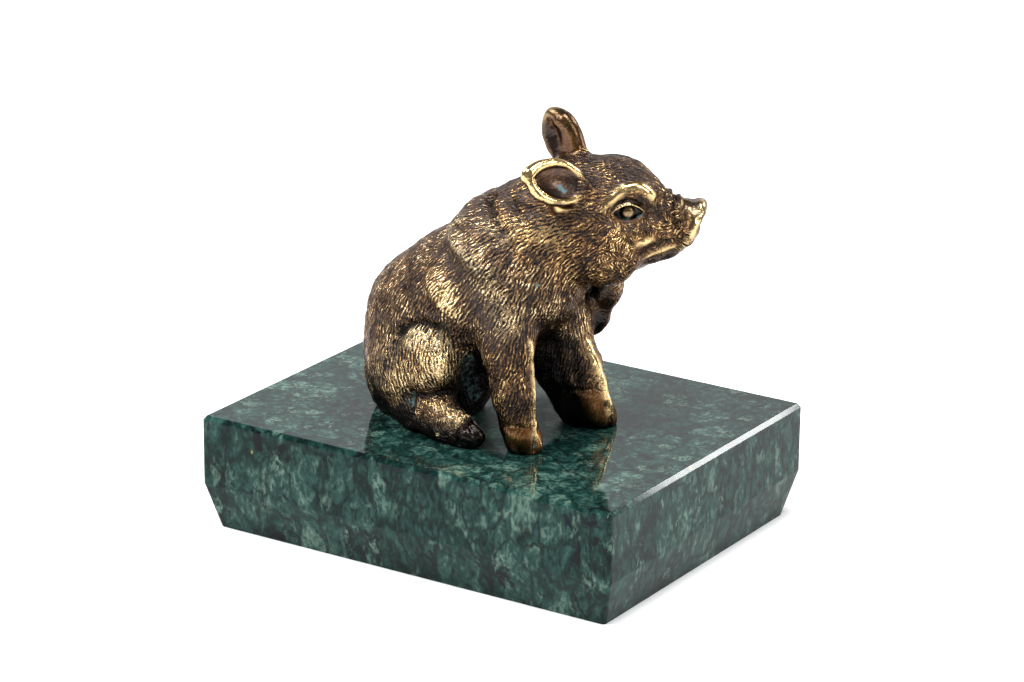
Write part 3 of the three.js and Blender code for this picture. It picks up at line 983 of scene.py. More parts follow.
@dataclass(frozen=True)
class MarbleFinish:
    """Polished green marble: broken green pieces, some pale, in a dark ground with specks and thin veins."""

    ground: Colour = (0.002, 0.008, 0.007, 1.0)
    deep: Colour = (0.006, 0.024, 0.020, 1.0)
    green: Colour = (0.018, 0.053, 0.044, 1.0)
    pale: Colour = (0.12, 0.19, 0.15, 1.0)
    dark: Colour = (0.004, 0.004, 0.006, 1.0)
    ochre: Colour = (0.30, 0.28, 0.06, 1.0)
    clast: float = 0.0072
    chip: float = 0.0030
    stretch: Point = (1.2, 1.2, 0.7)
    slant: Point = (0.5, 0.45, 0.3)
    swirl: float = 0.0026
    push: float = 0.0042
    mottle: float = 0.0024
    crumb: float = 0.0007
    drift: float = 0.016
    top: float = 0.0188
    side_rough: float = 0.32
    top_rough: float = 0.06
    seat_rough: float = 0.5
    seat: Point = (0.0094, -0.004, 0.02)
    seat_squeeze: Point = (1.7, 1.0, 1.0)
    seat_reach: tuple[float, float] = (0.019, 0.012)

    def cells(self, bench: Bench, where: Socket, size: float) -> tuple[Socket, Socket, Socket]:
        """Broken pieces of stone.

        Args:
            bench: The material's nodes.
            where: Coordinates in metres.
            size: The pieces' size in metres.

        Returns:
            Two random numbers for each piece, and the distance from its edge.
        """
        body = bench.node("ShaderNodeTexVoronoi", feature="F1")
        edge = bench.node("ShaderNodeTexVoronoi", feature="DISTANCE_TO_EDGE")
        for made in (body, edge):
            bench.feed(made.inputs["Vector"], where)
            made.inputs["Scale"].default_value = 1.0 / size
        split = bench.node("ShaderNodeSeparateColor")
        bench.feed(split.inputs[0], body.outputs["Color"])
        return split.outputs[0], split.outputs[1], edge.outputs["Distance"]

    def dots(self, bench: Bench, where: Socket, apart: float, share: float, rare: float) -> Socket:
        """Scattered specks.

        Args:
            bench: The material's nodes.
            where: Coordinates in metres.
            apart: How far apart specks could lie, in metres.
            share: A speck's radius as a share of that.
            rare: The share of places that stay empty.

        Returns:
            1 on the specks and 0 between them.
        """
        grit = bench.node("ShaderNodeTexVoronoi", feature="F1")
        bench.feed(grit.inputs["Vector"], where)
        grit.inputs["Scale"].default_value = 1.0 / apart
        split = bench.node("ShaderNodeSeparateColor")
        bench.feed(split.inputs[0], grit.outputs["Color"])
        spots = bench.span(grit.outputs["Distance"], 1.3 * share, 0.7 * share)
        return bench.calc("MULTIPLY", spots, bench.span(split.outputs[2], rare, rare + 0.01))

    def material(self) -> bpy.types.Material:
        """Makes the marble.

        Returns:
            The material.
        """
        bench = Bench("green_marble")
        where = bench.place(self.stretch, self.slant)
        ragged = bench.warped(where, self.swirl, self.push)
        one, _, edge = self.cells(bench, ragged, self.clast)
        chip_one, chip_two, chip_edge = self.cells(bench, ragged, self.chip)
        mottle = bench.noise(where, self.mottle, 9.0, 1.1)
        crumb = bench.noise(where, self.crumb, 6.0, 0.6)
        drift = bench.noise(where, self.drift, 6.0, 0.8)
        base = bench.span(one, 0.0, 1.0, (0.2, 0.46))
        base = bench.calc("ADD", base, bench.span(mottle, 0.3, 0.7, (-0.22, 0.22)))
        base = bench.calc("ADD", base, bench.span(drift, 0.35, 0.65, (-0.1, 0.1)))
        base = bench.calc("ADD", base, bench.span(crumb, 0.3, 0.7, (-0.1, 0.14)))
        colour = bench.ramp(base, ((0.02, self.ground), (0.22, self.deep), (0.5, self.green), (0.9, self.pale)))
        flakes = bench.calc("MULTIPLY", bench.span(chip_one, 0.62, 0.9), bench.span(chip_edge, 0.02, 0.3))
        flakes = bench.calc("MULTIPLY", flakes, bench.span(crumb, 0.38, 0.62))
        colour = bench.tint(bench.calc("MULTIPLY", flakes, 0.75), colour, self.pale)
        seams = bench.calc("MULTIPLY", bench.span(edge, 0.1, 0.0), bench.span(mottle, 0.35, 0.55, (0.35, 1.0)))
        colour = bench.tint(bench.calc("MULTIPLY", seams, 0.85), colour, self.ground)
        spots = bench.calc("MULTIPLY", bench.span(chip_two, 0.92, 0.96), bench.span(mottle, 0.5, 0.4))
        colour = bench.tint(bench.calc("MULTIPLY", spots, 0.9), colour, self.dark)
        specks = bench.calc("MULTIPLY", self.dots(bench, ragged, apart=0.0015, share=0.36, rare=0.84), 0.75)
        colour = bench.tint(specks, colour, self.dark)
        colour = bench.tint(self.dots(bench, where, apart=0.0042, share=0.08, rare=0.94), colour, self.ochre)
        height = bench.node("ShaderNodeSeparateXYZ")
        bench.feed(height.inputs[0], bench.place())
        polished = (self.side_rough, self.top_rough)
        rough = bench.span(height.outputs["Z"], self.top, self.top + 0.0003, polished)
        dull = self.dull_shaded_seat(bench, mottle)
        rough = bench.tint(dull, rough, grey(self.seat_rough))
        # Painted shade: the stone under the figure is darkened towards its dark ground.
        colour = bench.tint(bench.calc("MULTIPLY", dull, 0.35), colour, self.ground)
        ripple = bench.bump(bench.noise(bench.place(), 0.01, 2.0), 0.00002, 0.15)
        return bench.shader(
            Base_Color=colour,
            Roughness=rough,
            Metallic=0.0,
            Specular_IOR_Level=0.12,
            Normal=ripple,
        )

    def dull_shaded_seat(self, bench: Bench, mottle: Socket) -> Socket:
        """The patch under the figure where the stone is duller and painted shade darkens it.

        Args:
            bench: The material's nodes.
            mottle: The pattern that breaks the patch up.

        Returns:
            1 in the patch's middle and 0 outside it.
        """
        away = bench.node("ShaderNodeVectorMath", operation="DISTANCE")
        bench.feed(away.inputs[0], bench.place(self.seat_squeeze))
        away.inputs[1].default_value = self.seat
        inside = bench.span(away.outputs["Value"], *self.seat_reach)
        return bench.calc("MULTIPLY", inside, bench.span(mottle, 0.3, 0.6, (0.75, 1.0)))


@dataclass(frozen=True)
class PaperFinish:
    """The plain pale sheet that the sculpture stands on."""

    white: Colour = (0.95, 0.95, 0.95, 1.0)

    def material(self) -> bpy.types.Material:
        """Makes the paper.

        Returns:
            The material.
        """
        bench = Bench("pale_paper")
        tooth = bench.bump(bench.noise(bench.place(), 0.0012, 3.0), 0.00003, 0.1)
        return bench.shader(Base_Color=self.white, Roughness=0.9, Normal=tooth)


def add_piece(name: str, mesh: bpy.types.Mesh) -> bpy.types.Object:
    """Puts a mesh into the scene as a piece at the origin.

    Args:
        name: The piece's name.
        mesh: Its mesh, in metres and in place.

    Returns:
        The new object.
    """
    piece = bpy.data.objects.new(name, mesh)
    bpy.context.scene.collection.objects.link(piece)
    return piece


@dataclass(frozen=True)
class Survey:
    """What is read from the figure's surface before it is worked, one row or one share for every point."""

    points: Array
    local: Array
    folded: Array
    shelter: Array
    hoof: Array
    disc: Array
    near_leaf: Array
    near_floor: Array
    far_leaf: Array
    far_floor: Array

    def leaf(self) -> Array:
        """How surely each point belongs to either ear, from 0 to 1."""
        return np.maximum(self.near_leaf, self.far_leaf)


@dataclass
class Piglet:
    """The bronze figure, one casting, worked up from the solid model's surface.

    Sizes are in millimetres. The lines of the face lie in the folded head axes, those of the ears in the head's
    axes and all others in the part's own frame.
    """

    node: str = "piglet"
    foot: float = 20.0
    voxel: float = 0.337
    tuft_height: float = 0.4
    tuft_middle: float = 0.6
    lump_height: float = 0.09
    bare_tone: float = 0.62
    seed: int = 5
    rays: int = 48
    sparse: int = 14
    far_off: float = 16.0
    head: HeadFrame = HeadFrame()
    eye: Eye = Eye()
    near_ear: Ear = Ear(
        root=(-1.4, -6.0, 5.4),
        tip=(-13.0, -11.4, 9.4),
        width=4.1,
        facing=(0.05, -0.9, 0.42),
        shift=(0.7, 0.0),
    )
    far_ear: Ear = Ear(
        root=(-2.4, 4.6, 5.6),
        tip=(-8.0, 8.4, 15.4),
        width=4.2,
        facing=(-0.75, -0.6, 0.1),
        hollow=0.15,
    )
    nose: Point = (15.5, 0.0, -1.8)
    nose_rim: Path = (
        (17.1, 0.0, 2.4),
        (17.2, 2.1, 1.8),
        (17.0, 3.2, 1.0),
        (16.5, 4.1, -0.1),
        (15.7, 4.4, -1.7),
        (14.8, 4.0, -3.7),
        (13.9, 3.1, -5.1),
        (13.5, 1.0, -6.0),
    )
    brow: Path = (
        (1.0, 8.2, 3.2),
        (1.8, 7.8, 4.0),
        (3.1, 7.3, 5.2),
        (4.3, 6.8, 6.0),
        (5.8, 6.4, 6.2),
        (7.3, 6.1, 5.8),
        (8.4, 6.0, 4.8),
        (9.3, 4.8, 3.2),
    )
    mouth: Path = ((13.4, 3.0, -5.4), (11.0, 3.6, -5.9), (8.9, 3.9, -6.9), (7.2, 4.6, -7.4))
    lip: Path = ((7.7, 4.8, -6.4), (8.9, 4.3, -5.9), (11.0, 4.0, -5.0), (12.9, 3.3, -4.8))
    lip_fold: Path = ((7.0, 6.7, -4.8), (8.3, 5.3, -4.7), (9.9, 4.8, -4.0), (11.6, 4.4, -3.6))
    upper_lip: Path = ((6.3, 7.3, -3.4), (7.4, 6.2, -3.3), (8.6, 5.6, -2.9))
    under_eye: Path = ((2.0, 8.5, 0.3), (4.4, 7.7, -0.5), (6.9, 6.3, -0.5), (8.9, 5.4, 0.2))
    jowl: Path = ((6.9, 6.6, -3.3), (5.8, 7.9, -5.8), (4.7, 8.0, -7.9), (3.5, 7.9, -9.2))
    blade: Path = (
        (-0.7, -12.4, 56.7),
        (-2.4, -12.3, 55.6),
        (-2.6, -13.3, 54.6),
        (0.0, -15.9, 53.4),
        (3.2, -17.4, 52.4),
        (6.0, -17.8, 50.6),
    )
    nape_fold: Path = ((2.6, -8.0, 60.4), (3.5, -10.4, 59.4), (5.3, -12.1, 58.5), (8.6, -14.0, 56.0))
    raised_shank: Path = ((15.0, 6.8, 43.0), (15.2, 6.8, 39.5), (14.2, 7.2, 35.5))
    near_shin: Path = (
        (13.9, -13.8, 38.4),
        (13.8, -13.4, 34.7),
        (14.2, -13.6, 31.4),
        (14.9, -14.2, 28.3),
        (15.3, -14.5, 25.0),
        (15.8, -15.3, 23.0),
    )
    far_shin: Path = (
        (15.9, 0.9, 34.6),
        (16.8, 1.1, 32.1),
        (17.7, 1.3, 29.7),
        (18.3, 1.8, 26.9),
        (19.0, 2.2, 24.9),
        (19.5, 2.6, 22.7),
    )
    knee: Path = (
        (-6.0, -17.8, 36.4),
        (-3.4, -17.4, 36.6),
        (-1.0, -16.9, 35.2),
        (0.2, -17.8, 32.2),
        (-1.2, -18.3, 29.3),
    )
    knee_fold: Path = ((-9.6, -17.8, 36.7), (-7.4, -17.6, 38.4), (-4.3, -17.5, 39.2), (-1.6, -17.1, 38.6))
    ham_crease: Path = (
        (-6.4, -19.1, 28.8),
        (-5.7, -19.2, 27.3),
        (-5.8, -18.9, 25.6),
        (-5.6, -18.8, 24.0),
        (-5.9, -18.8, 22.8),
    )
    ankle: Path = (
        (-5.2, -19.1, 26.9),
        (-3.8, -18.9, 27.1),
        (-2.5, -18.5, 27.4),
        (-1.3, -17.9, 27.8),
        (-0.5, -16.7, 28.0),
        (-0.2, -15.1, 27.5),
    )
    foot_tuft: Path = ((4.1, -17.2, 24.7), (3.8, -18.6, 24.6), (3.4, -19.5, 24.1))
    hind_hoof_line: Path = (
        (4.9, -17.0, 24.4),
        (4.7, -18.4, 24.2),
        (4.4, -19.7, 23.4),
        (4.1, -20.3, 22.2),
        (4.1, -20.0, 20.6),
    )
    hoof_rim: Path = ((5.2, -17.6, 24.0), (6.2, -17.6, 23.2), (7.0, -17.8, 22.2), (7.6, -18.0, 21.0))
    dew_claw: Path = ((0.4, -20.4, 22.1), (0.7, -20.2, 21.0))
    valley: Path = (
        (-5.6, 0.0, 55.4),
        (-5.8, -6.0, 55.6),
        (-5.2, -12.6, 53.4),
        (-2.0, -15.9, 51.3),
        (1.2, -17.5, 49.2),
        (4.2, -18.1, 47.0),
        (6.8, -18.2, 45.0),
        (7.6, -18.2, 41.9),
        (8.9, -18.7, 39.4),
    )

    def coat(self) -> Coat:
        """The hair, laid by the way that this figure's head is turned."""
        return Coat(self.head)

    def surface(self) -> bpy.types.Mesh:
        """Copies the solid's surface, rounds it and lays an even fine net over it.

        Returns:
            The net as a mesh in metres.
        """
        rough = bmesh.new()
        rough.from_mesh(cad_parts[self.node].data)
        bmesh.ops.remove_doubles(rough, verts=rough.verts, dist=0.001 * MM)
        bmesh.ops.join_triangles(
            rough,
            faces=rough.faces,
            angle_face_threshold=math.radians(60),
            angle_shape_threshold=math.radians(70),
        )
        layer = rough.edges.layers.float.new("crease_edge")
        for edge in rough.edges:
            on_sole = all(v.co.z < (self.foot + 0.05) * MM for v in edge.verts)
            if on_sole and edge.calc_face_angle(0.0) > math.radians(25):
                edge[layer] = 1.0
        mesh = bpy.data.meshes.new("piglet_rough")
        rough.to_mesh(mesh)
        rough.free()
        piece = add_piece("piglet_rough", mesh)
        rounding = piece.modifiers.new("rounding", "SUBSURF")
        rounding.levels = rounding.render_levels = 2
        net = piece.modifiers.new("net", "REMESH")
        net.mode = "VOXEL"
        net.voxel_size = self.voxel * MM
        fine = bpy.data.meshes.new_from_object(piece.evaluated_get(bpy.context.evaluated_depsgraph_get()))
        bpy.data.objects.remove(piece)
        return self.refined(fine)

    def refined(self, mesh: bpy.types.Mesh) -> bpy.types.Mesh:
        """Splits the net more finely round both eyes.

        Args:
            mesh: The even net.

        Returns:
            The same mesh with the finer patches.
        """
        shape = bmesh.new()
        shape.from_mesh(mesh)
        for reach in (4.0, 3.1):
            places = np.array([v.co for v in shape.verts]) / MM
            gap = np.linalg.norm(self.head.folded(places) - np.array(self.eye.middle), axis=1)
            shape.verts.ensure_lookup_table()
            close = [e for e in shape.edges if all(gap[v.index] < reach for v in e.verts)]
            bmesh.ops.subdivide_edges(shape, edges=close, cuts=1, use_grid_fill=True)
            shape.verts.index_update()
        shape.to_mesh(mesh)
        shape.free()
        return mesh

    def face_forms(self) -> dict[str, Line | Swell]:
        """The face's creases and ridges, in the folded head axes.

        Returns:
            The forms by name.
        """
        disc_groove = ((12.7, 0.0, 3.1), (12.5, 3.0, 1.9), (12.8, 4.1, -0.1), (13.4, 4.2, -2.3))
        disc_collar = ((15.0, 0.0, 1.9), (14.9, 2.4, 1.2), (15.2, 3.6, -0.6), (15.0, 3.9, -2.4))
        return {
            "brow": Line(self.brow, 0.75, 0.5),
            "mouth": Line(self.mouth, 0.4, -0.6),
            "lip": Line(self.lip, 0.4, 0.35),
            "lip_fold": Line(self.lip_fold, 0.5, -0.5),
            "upper_lip": Line(self.upper_lip, 0.8, 0.45),
            "under_eye": Line(self.under_eye, 1.0, -0.2),
            "jowl": Line(self.jowl, 0.6, -0.4),
            "disc_groove": Line(disc_groove, 0.42, -0.6),
            "bridge_groove": Line(((11.2, 0.0, 3.9), (11.0, 2.4, 3.2), (11.0, 4.0, 1.6)), 0.4, -0.3),
            "front_wrinkle": Line(((13.4, 0.0, 2.9), (13.3, 1.8, 2.5), (13.3, 3.3, 1.3)), 0.5, 0.35),
            "back_wrinkle": Line(((11.9, 0.0, 3.6), (11.8, 2.2, 2.9), (11.8, 3.7, 1.4)), 0.5, 0.3),
            "disc_collar": Line(disc_collar, 0.8, 0.3),
            "forehead_dip": Swell((3.0, 0.0, 9.5), (5.5, 4.5, 3.0), -0.45),
            "rim_nick": Swell((16.5, 4.1, -0.1), (0.45, 0.45, 0.45), -0.35),
        }

    def ear_forms(self) -> dict[str, Line]:
        """The folds of the far ear, in the head's axes.

        Returns:
            The forms by name.
        """
        roll = ((-6.7, 5.5, 14.2), (-5.6, 4.8, 12.6), (-5.1, 4.9, 10.8), (-4.7, 4.8, 8.8))
        return {
            "front_roll": Line(roll, 2.1, 0.9),
            "hollow_line": Line(((-8.0, 7.4, 13.6), (-7.2, 7.0, 12.2), (-6.4, 6.5, 10.6)), 1.1, -0.2),
        }

    def body_forms(self) -> dict[str, Line | Swell]:
        """The creases, folds and ridges of the body and legs.

        Returns:
            The forms by name.
        """
        neck_ridge = ((6.9, -13.7, 57.0), (9.4, -13.2, 56.8), (12.7, -12.3, 56.3), (15.7, -11.0, 56.2))
        flank_ridge = ((-3.6, -15.8, 49.0), (-2.2, -17.0, 46.2), (-0.2, -17.5, 43.8), (1.1, -17.3, 41.6))
        shin_groove = ((13.2, -15.4, 37.5), (13.4, -15.2, 34.0), (14.2, -15.7, 29.5), (14.6, -16.2, 26.0))
        far_hoof_line = ((9.6, -1.6, 26.6), (12.4, -2.0, 26.8), (15.4, -2.1, 27.0), (18.0, -0.4, 27.0))
        return {
            "flank_dip": Line(self.valley, 3.4, -1.0, 0.05),
            "neck_ridge": Line(neck_ridge, 1.8, 0.4),
            "shoulder_blade": Line(self.blade, 1.3, 0.6),
            "nape_fold": Line(self.nape_fold, 0.75, -0.85),
            "ear_fold": Line(((6.4, -8.6, 60.8), (8.3, -10.8, 60.0), (10.0, -12.2, 58.6)), 0.65, -0.6),
            "flank_ridge": Line(flank_ridge, 2.2, 0.8),
            "flank_crease": Line(((-6.6, -16.2, 46.6), (-4.4, -17.2, 43.8), (-2.2, -17.4, 41.2)), 0.9, -0.3),
            "knee_fold": Line(self.knee_fold, 0.8, -0.95),
            "knee_cap": Swell((-4.4, -17.4, 35.6), (3.0, 2.5, 2.0), 0.7),
            "knee": Line(self.knee, 1.2, 0.25),
            "ham_crease": Line(self.ham_crease, 0.7, -0.55),
            "ankle": Line(self.ankle, 0.7, -0.8),
            "instep": Swell((-0.6, -18.6, 25.9), (2.6, 2.2, 1.6), 0.55),
            "toe": Swell((2.2, -18.8, 24.9), (1.5, 1.6, 1.2), 0.35),
            "instep_crease": Line(((1.0, -17.0, 26.0), (1.2, -19.0, 25.0), (0.9, -20.3, 23.2)), 0.5, -0.3),
            "foot_tuft": Line(self.foot_tuft, 0.6, 0.5),
            "hind_hoof_line": Line(self.hind_hoof_line, 0.4, -0.6),
            "hind_hoof": Swell((6.6, -18.2, 22.0), (2.0, 2.2, 2.0), 0.9),
            "hoof_rim": Line(self.hoof_rim, 0.4, 0.35),
            "hind_cleft": Line(((5.2, -18.6, 23.4), (6.3, -18.7, 22.2), (7.2, -18.6, 20.6)), 0.36, -0.5),
            "dew_claw": Line(self.dew_claw, 0.6, 0.8, 0.4),
            "dew_claw_line": Line(((1.8, -20.2, 22.6), (1.9, -20.2, 21.4), (2.1, -19.9, 20.4)), 0.4, -0.4),
            "near_shin": Line(self.near_shin, 0.6, 0.4),
            "near_shin_groove": Line(shin_groove, 0.6, -0.28),
            "near_cleft": Line(((15.9, -15.3, 24.2), (16.2, -15.5, 22.2), (16.3, -15.7, 20.2)), 0.34, -0.6),
            "near_hoof_line": Line(((11.2, -17.2, 24.6), (13.4, -17.9, 25.0), (15.0, -16.6, 24.6)), 0.5, -0.22),
            "far_shin": Line(self.far_shin, 0.9, 0.5),
            "far_cleft": Line(((19.2, 1.5, 24.4), (19.9, 2.0, 22.4), (20.2, 2.2, 20.2)), 0.34, -0.55),
            "far_leg_groove": Line(((14.4, -2.0, 34.5), (15.0, -2.2, 31.0), (15.6, -2.0, 27.6)), 0.9, -0.45),
            "far_leg_cord": Line(((11.0, -2.9, 33.0), (11.6, -2.6, 29.5), (12.6, -2.2, 26.4)), 0.8, 0.35),
            "far_hoof_line": Line(far_hoof_line, 0.5, -0.25),
            "ear_pit": Swell((13.5, -15.4, 65.0), (0.9, 0.9, 1.4), -0.5),
            "nape_pit": Swell((11.7, -10.9, 59.8), (0.45, 0.45, 0.6), -0.55),
            "raised_cleft": Line(((17.6, 8.2, 44.0), (18.2, 8.6, 46.4), (17.4, 9.2, 48.6)), 0.36, -0.5),
        }

    def hoof_share(self, points: Array) -> Array:
        """How surely each point is on a hoof, from 0 to 1.

        Args:
            points: Points in millimetres.

        Returns:
            Shares, which fade raggedly into the hair above.
        """
        x, y, z = points.T
        far = smooth_step(y, -6.0, -4.0)
        ragged = 0.5 * np.sin(points @ np.array([2.3, 1.9, 0.6]))
        ragged += 0.3 * np.sin(points @ np.array([-4.1, 3.7, 0.8]))
        low = smooth_step(z + ragged - 2.0 * far, 27.6, 23.4)
        fore = smooth_step(x, 9.2, 9.8)
        hind = smooth_step(x, 4.1, 4.8) * smooth_step(x, 9.2, 8.6)
        block = ((points - np.array([16.0, 9.4, 46.0])) / 4.0) ** 4
        raised = smooth_step(z, 42.6, 43.4) * np.exp(-block.sum(1))
        raised *= smooth_step(y, 6.6, 8.0)
        return np.clip(low * np.maximum(fore, hind) + raised, 0.0, 1.0)

    def disc_share(self, folded: Array) -> Array:
        """How surely each point is on the snout's disc, from 0 to 1."""
        front = smooth_step(folded[:, 0] + 0.45 * folded[:, 2], 13.2, 14.4)
        return front * smooth_step(np.linalg.norm(folded - np.array(self.nose), axis=1), 6.4, 5.4)

    def cheek_share(self, folded: Array) -> Array:
        """How surely each point is on the cheeks or the snout, where the hair is short and curls."""
        return smooth_step(folded[:, 0], -3.0, 2.5) * smooth_step(folded[:, 2], 5.5, 3.0)

    def bare_share(self, seen: Survey) -> Array:
        """How free of hair each point is, from 0 to 1.

        Args:
            seen: The readings of the surface.

        Returns:
            Shares of bare metal.
        """
        eyes = self.eye.near(seen.folded, 3.1) * smooth_step(np.abs(self.eye.flat(seen.folded)[:, 1]), 2.1, 1.4)
        brow = np.clip(1.5 * Line(self.brow, 0.85, 1.0, 0.3).lift(seen.folded), 0.0, 1.0)
        crown = smooth_step(seen.folded[:, 2], 6.4, 8.4) * (1 - seen.leaf())
        face = (
            Touch(self.under_eye, 0.8, 0.35),
            Touch(((12.0, 1.5, -7.2), (7.4, 3.5, -9.0)), 2.4, 0.85),
            Touch(self.lip, 0.9, 0.95),
            Touch(self.upper_lip, 0.9, 0.9),
        )
        legs = (
            Touch(self.near_shin, 0.8, 0.9),
            Touch(self.far_shin, 1.3, 0.95),
            Touch(self.raised_shank, 2.8, 0.85),
        )
        strokes = np.maximum(strongest(face, seen.folded), strongest(legs, seen.points))
        plain = [0.93 * seen.leaf(), 0.9 * seen.hoof, 0.93 * seen.disc, 0.1 * crown]
        return np.clip(np.maximum.reduce([*plain, eyes, brow, strokes]), 0.0, 1.0)

    def survey(self, clay: Clay) -> Survey:
        """Reads what the work needs from the surface.

        Args:
            clay: The surface before it is worked.

        Returns:
            The readings.
        """
        local = self.head.local(clay.points)
        folded = self.head.folded(clay.points)
        return Survey(
            points=clay.points.copy(),
            local=local,
            folded=folded,
            shelter=self.shelter(clay),
            hoof=self.hoof_share(clay.points),
            disc=self.disc_share(folded),
            near_leaf=self.near_ear.member(local),
            near_floor=self.near_ear.floor(local),
            far_leaf=self.far_ear.member(local),
            far_floor=self.far_ear.floor(local),
        )

    def model(self, clay: Clay) -> dict[str, Array]:
        """Works the folds, the face, the ears and the hair into the surface.

        Args:
            clay: The surface, which is changed.

        Returns:
            The marks for the finish, each one number a point from 0 to 1.
        """
        seen = self.survey(clay)
        clay.calm(self.eye.near(seen.folded, 4.2), 60)
        clay.calm(np.maximum(0.8 * seen.leaf(), 0.95 * seen.far_leaf), 9)
        forms = sum(form.lift(clay.points) for form in self.body_forms().values())
        forms += sum(form.lift(seen.folded) for form in self.face_forms().values())
        forms += seen.far_leaf * sum(form.lift(seen.local) for form in self.ear_forms().values())
        forms -= self.near_ear.hollow * seen.near_leaf * seen.near_floor
        forms -= self.far_ear.hollow * seen.far_leaf * seen.far_floor
        standing = smooth_step(clay.points[:, 2], self.foot + 0.02, self.foot + 0.5)
        clay.raise_by(forms * standing)
        clay.raise_by(self.eye.lift(self.head.folded(clay.points)))
        rng = np.random.default_rng(self.seed)
        lumps = clay.blur(rng.normal(0.0, 1.0, len(clay.points)), 30)
        lumpy = (1 - self.eye.near(seen.folded, 5.0)) * (1 - seen.leaf()) * standing
        clay.raise_by(self.lump_height * lumps / lumps.std() * lumpy)
        outside = (1 - Touch(self.valley, 4.5, 1.0).amount(seen.points)) * (1 - seen.far_leaf)
        folds = clay.hollowness(14) * outside
        bare = self.bare_share(seen)
        hair = self.coat().relief(clay, self.cheek_share(seen.folded))
        clay.raise_by(self.tuft_height * (hair - self.tuft_middle) * (1 - bare) * standing)
        clay.points[:, 2] = np.maximum(clay.points[:, 2], self.foot)
        return self.marks(clay, seen, hair, bare, folds)

    def shelter(self, clay: Clay) -> Array:
        """How hidden each point is by the figure and the plinth round it.

        Args:
            clay: The surface before it is worked.

        Returns:
            Shares of the directions that are blocked, from 0 to 1.
        """
        normals = clay.normals()
        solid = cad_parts[self.node].data
        solid.calc_loop_triangles()
        tree = BVHTree.FromPolygons(
            [tuple(v.co / MM) for v in solid.vertices],
            [tuple(t.vertices) for t in solid.loop_triangles],
        )
        turns = np.arange(self.rays) + 0.5
        rise = 1 - 2 * turns / self.rays
        spin = turns * math.pi * (3 - math.sqrt(5))
        flat = np.sqrt(1 - rise**2)
        ways = np.stack([flat * np.cos(spin), flat * np.sin(spin), rise], 1)
        picked = np.arange(0, len(clay.points), self.sparse)
        found = KDTree(len(picked))
        shares = np.zeros(len(picked))
        for i, index in enumerate(picked):
            start = clay.points[index] + normals[index] * 0.7
            facing = ways @ normals[index]
            hits = total = 0.0
            for way, weight in zip(ways[facing > 0.15], facing[facing > 0.15]):
                drop = (self.foot - start[2]) / way[2] if way[2] < 0 else np.inf
                blocked = drop < self.far_off or tree.ray_cast(start, way, self.far_off)[0] is not None
                hits += weight * blocked
                total += weight
            shares[i] = hits / total
            found.insert(clay.points[index], i)
        found.balance()
        near = np.array([[n[1] for n in found.find_n(p, 4)] for p in clay.points])
        return clay.blur(shares[near].mean(1), 6)

    def curled(self, seen: Survey, normals: Array) -> Array:
        """The lie of the hair with the cheeks' and the foot's short curls in it.

        Args:
            seen: The readings of the surface.
            normals: The finished surface's directions.

        Returns:
            Directions along the surface.
        """
        points = seen.points
        flow, _ = self.coat().lie(points, normals)
        wave = np.sin(points @ np.array([2.1, -1.3, 1.7])) + np.sin(points @ np.array([-1.1, 2.3, 1.9]) + 1.0)
        foot = Touch(((-3.0, -19.0, 25.0), (3.0, -19.0, 24.0)), 3.0, 0.7).amount(points)
        turn = (0.1 + 0.8 * self.cheek_share(seen.folded) + foot) * wave
        return flow * np.cos(turn)[:, None] + np.cross(normals, flow) * np.sin(turn)[:, None]

    def ear_rims(self, seen: Survey, normals: Array) -> Array:
        """Where the ears' edges are rubbed bright, from 0 to 1.

        Args:
            seen: The readings of the surface.
            normals: The finished surface's directions.

        Returns:
            Shares: all of the near ear's rim but its underside, and the far ear's tip.
        """
        reach = self.far_ear.flat(seen.local)[:, 0] / self.far_ear.length()
        tip = 0.7 * smooth_step(reach, 0.78, 1.0)
        rims = seen.near_leaf * self.near_ear.edges(seen.local)
        rims = rims + tip * seen.far_leaf * self.far_ear.edges(seen.local)
        return rims * (1 - 0.9 * smooth_step(-normals[:, 2], 0.15, 0.5))

    def back_half(self, seen: Survey) -> Array:
        """How far each point lies on the far ear's back half, from 0 to 1."""
        return smooth_step(self.far_ear.flat(seen.local)[:, 1], 0.0, 1.4)

    def ear_floors(self, seen: Survey) -> Array:
        """Where the floors of the ears' hollows are, from 0 to 1."""
        near = seen.near_leaf * seen.near_floor
        return near + self.back_half(seen) * seen.far_leaf * seen.far_floor

    def under_lobe(self, seen: Survey) -> Array:
        """Where the near ear's underside meets the head, from 0 to 1."""
        return Touch(((-6.9, -11.5, 4.2), (-6.1, -10.9, 3.9), (-5.0, -9.9, 3.6)), 0.8, 0.9).amount(seen.local)

    def nose_edge(self, folded: Array) -> Array:
        """Where the snout disc's rim is, widest at its side, from 0 to 1."""
        return strongest((Touch(self.nose_rim, 0.38, 1.0), Touch(self.nose_rim[3:7], 0.6, 1.0)), folded)

    def rubbed_touches(self) -> dict[str, Touch]:
        """Where the body is rubbed gold, with painted highlights on the neck ridge and the hind toe.

        Returns:
            The touches by name.
        """
        return {
            "near_shin": Touch(self.near_shin, 0.55, 1.0),
            "far_shin": Touch(self.far_shin, 0.9, 1.0),
            "knee": Touch(self.knee, 1.7, 0.75),
            "thigh": Touch(((-13.0, -16.5, 28.0), (-8.0, -18.5, 31.0)), 4.0, 0.2),
            "instep": Touch(((0.2, -18.6, 26.2), (2.4, -19.0, 25.0)), 1.2, 0.5),
            # Painted highlight along the neck ridge.
            "neck_ridge": Touch(((6.9, -13.7, 57.0), (10.4, -13.2, 56.8), (15.7, -11.0, 56.2)), 2.4, 0.25),
            "shoulder": Touch(((4.0, -16.0, 52.0), (9.0, -16.6, 46.0), (11.0, -16.4, 42.0)), 2.4, 0.2),
            "blade": Touch(self.blade, 1.1, 0.4),
            "foot_tuft": Touch(self.foot_tuft, 0.6, 0.95),
            "hoof_rim": Touch(self.hoof_rim, 0.35, 0.8),
            "dew_claw": Touch(self.dew_claw, 0.5, 0.95),
            # Painted highlight on the hind toe.
            "hind_toe_highlight": Touch(((7.3, -18.9, 21.0),), 0.5, 0.9),
        }

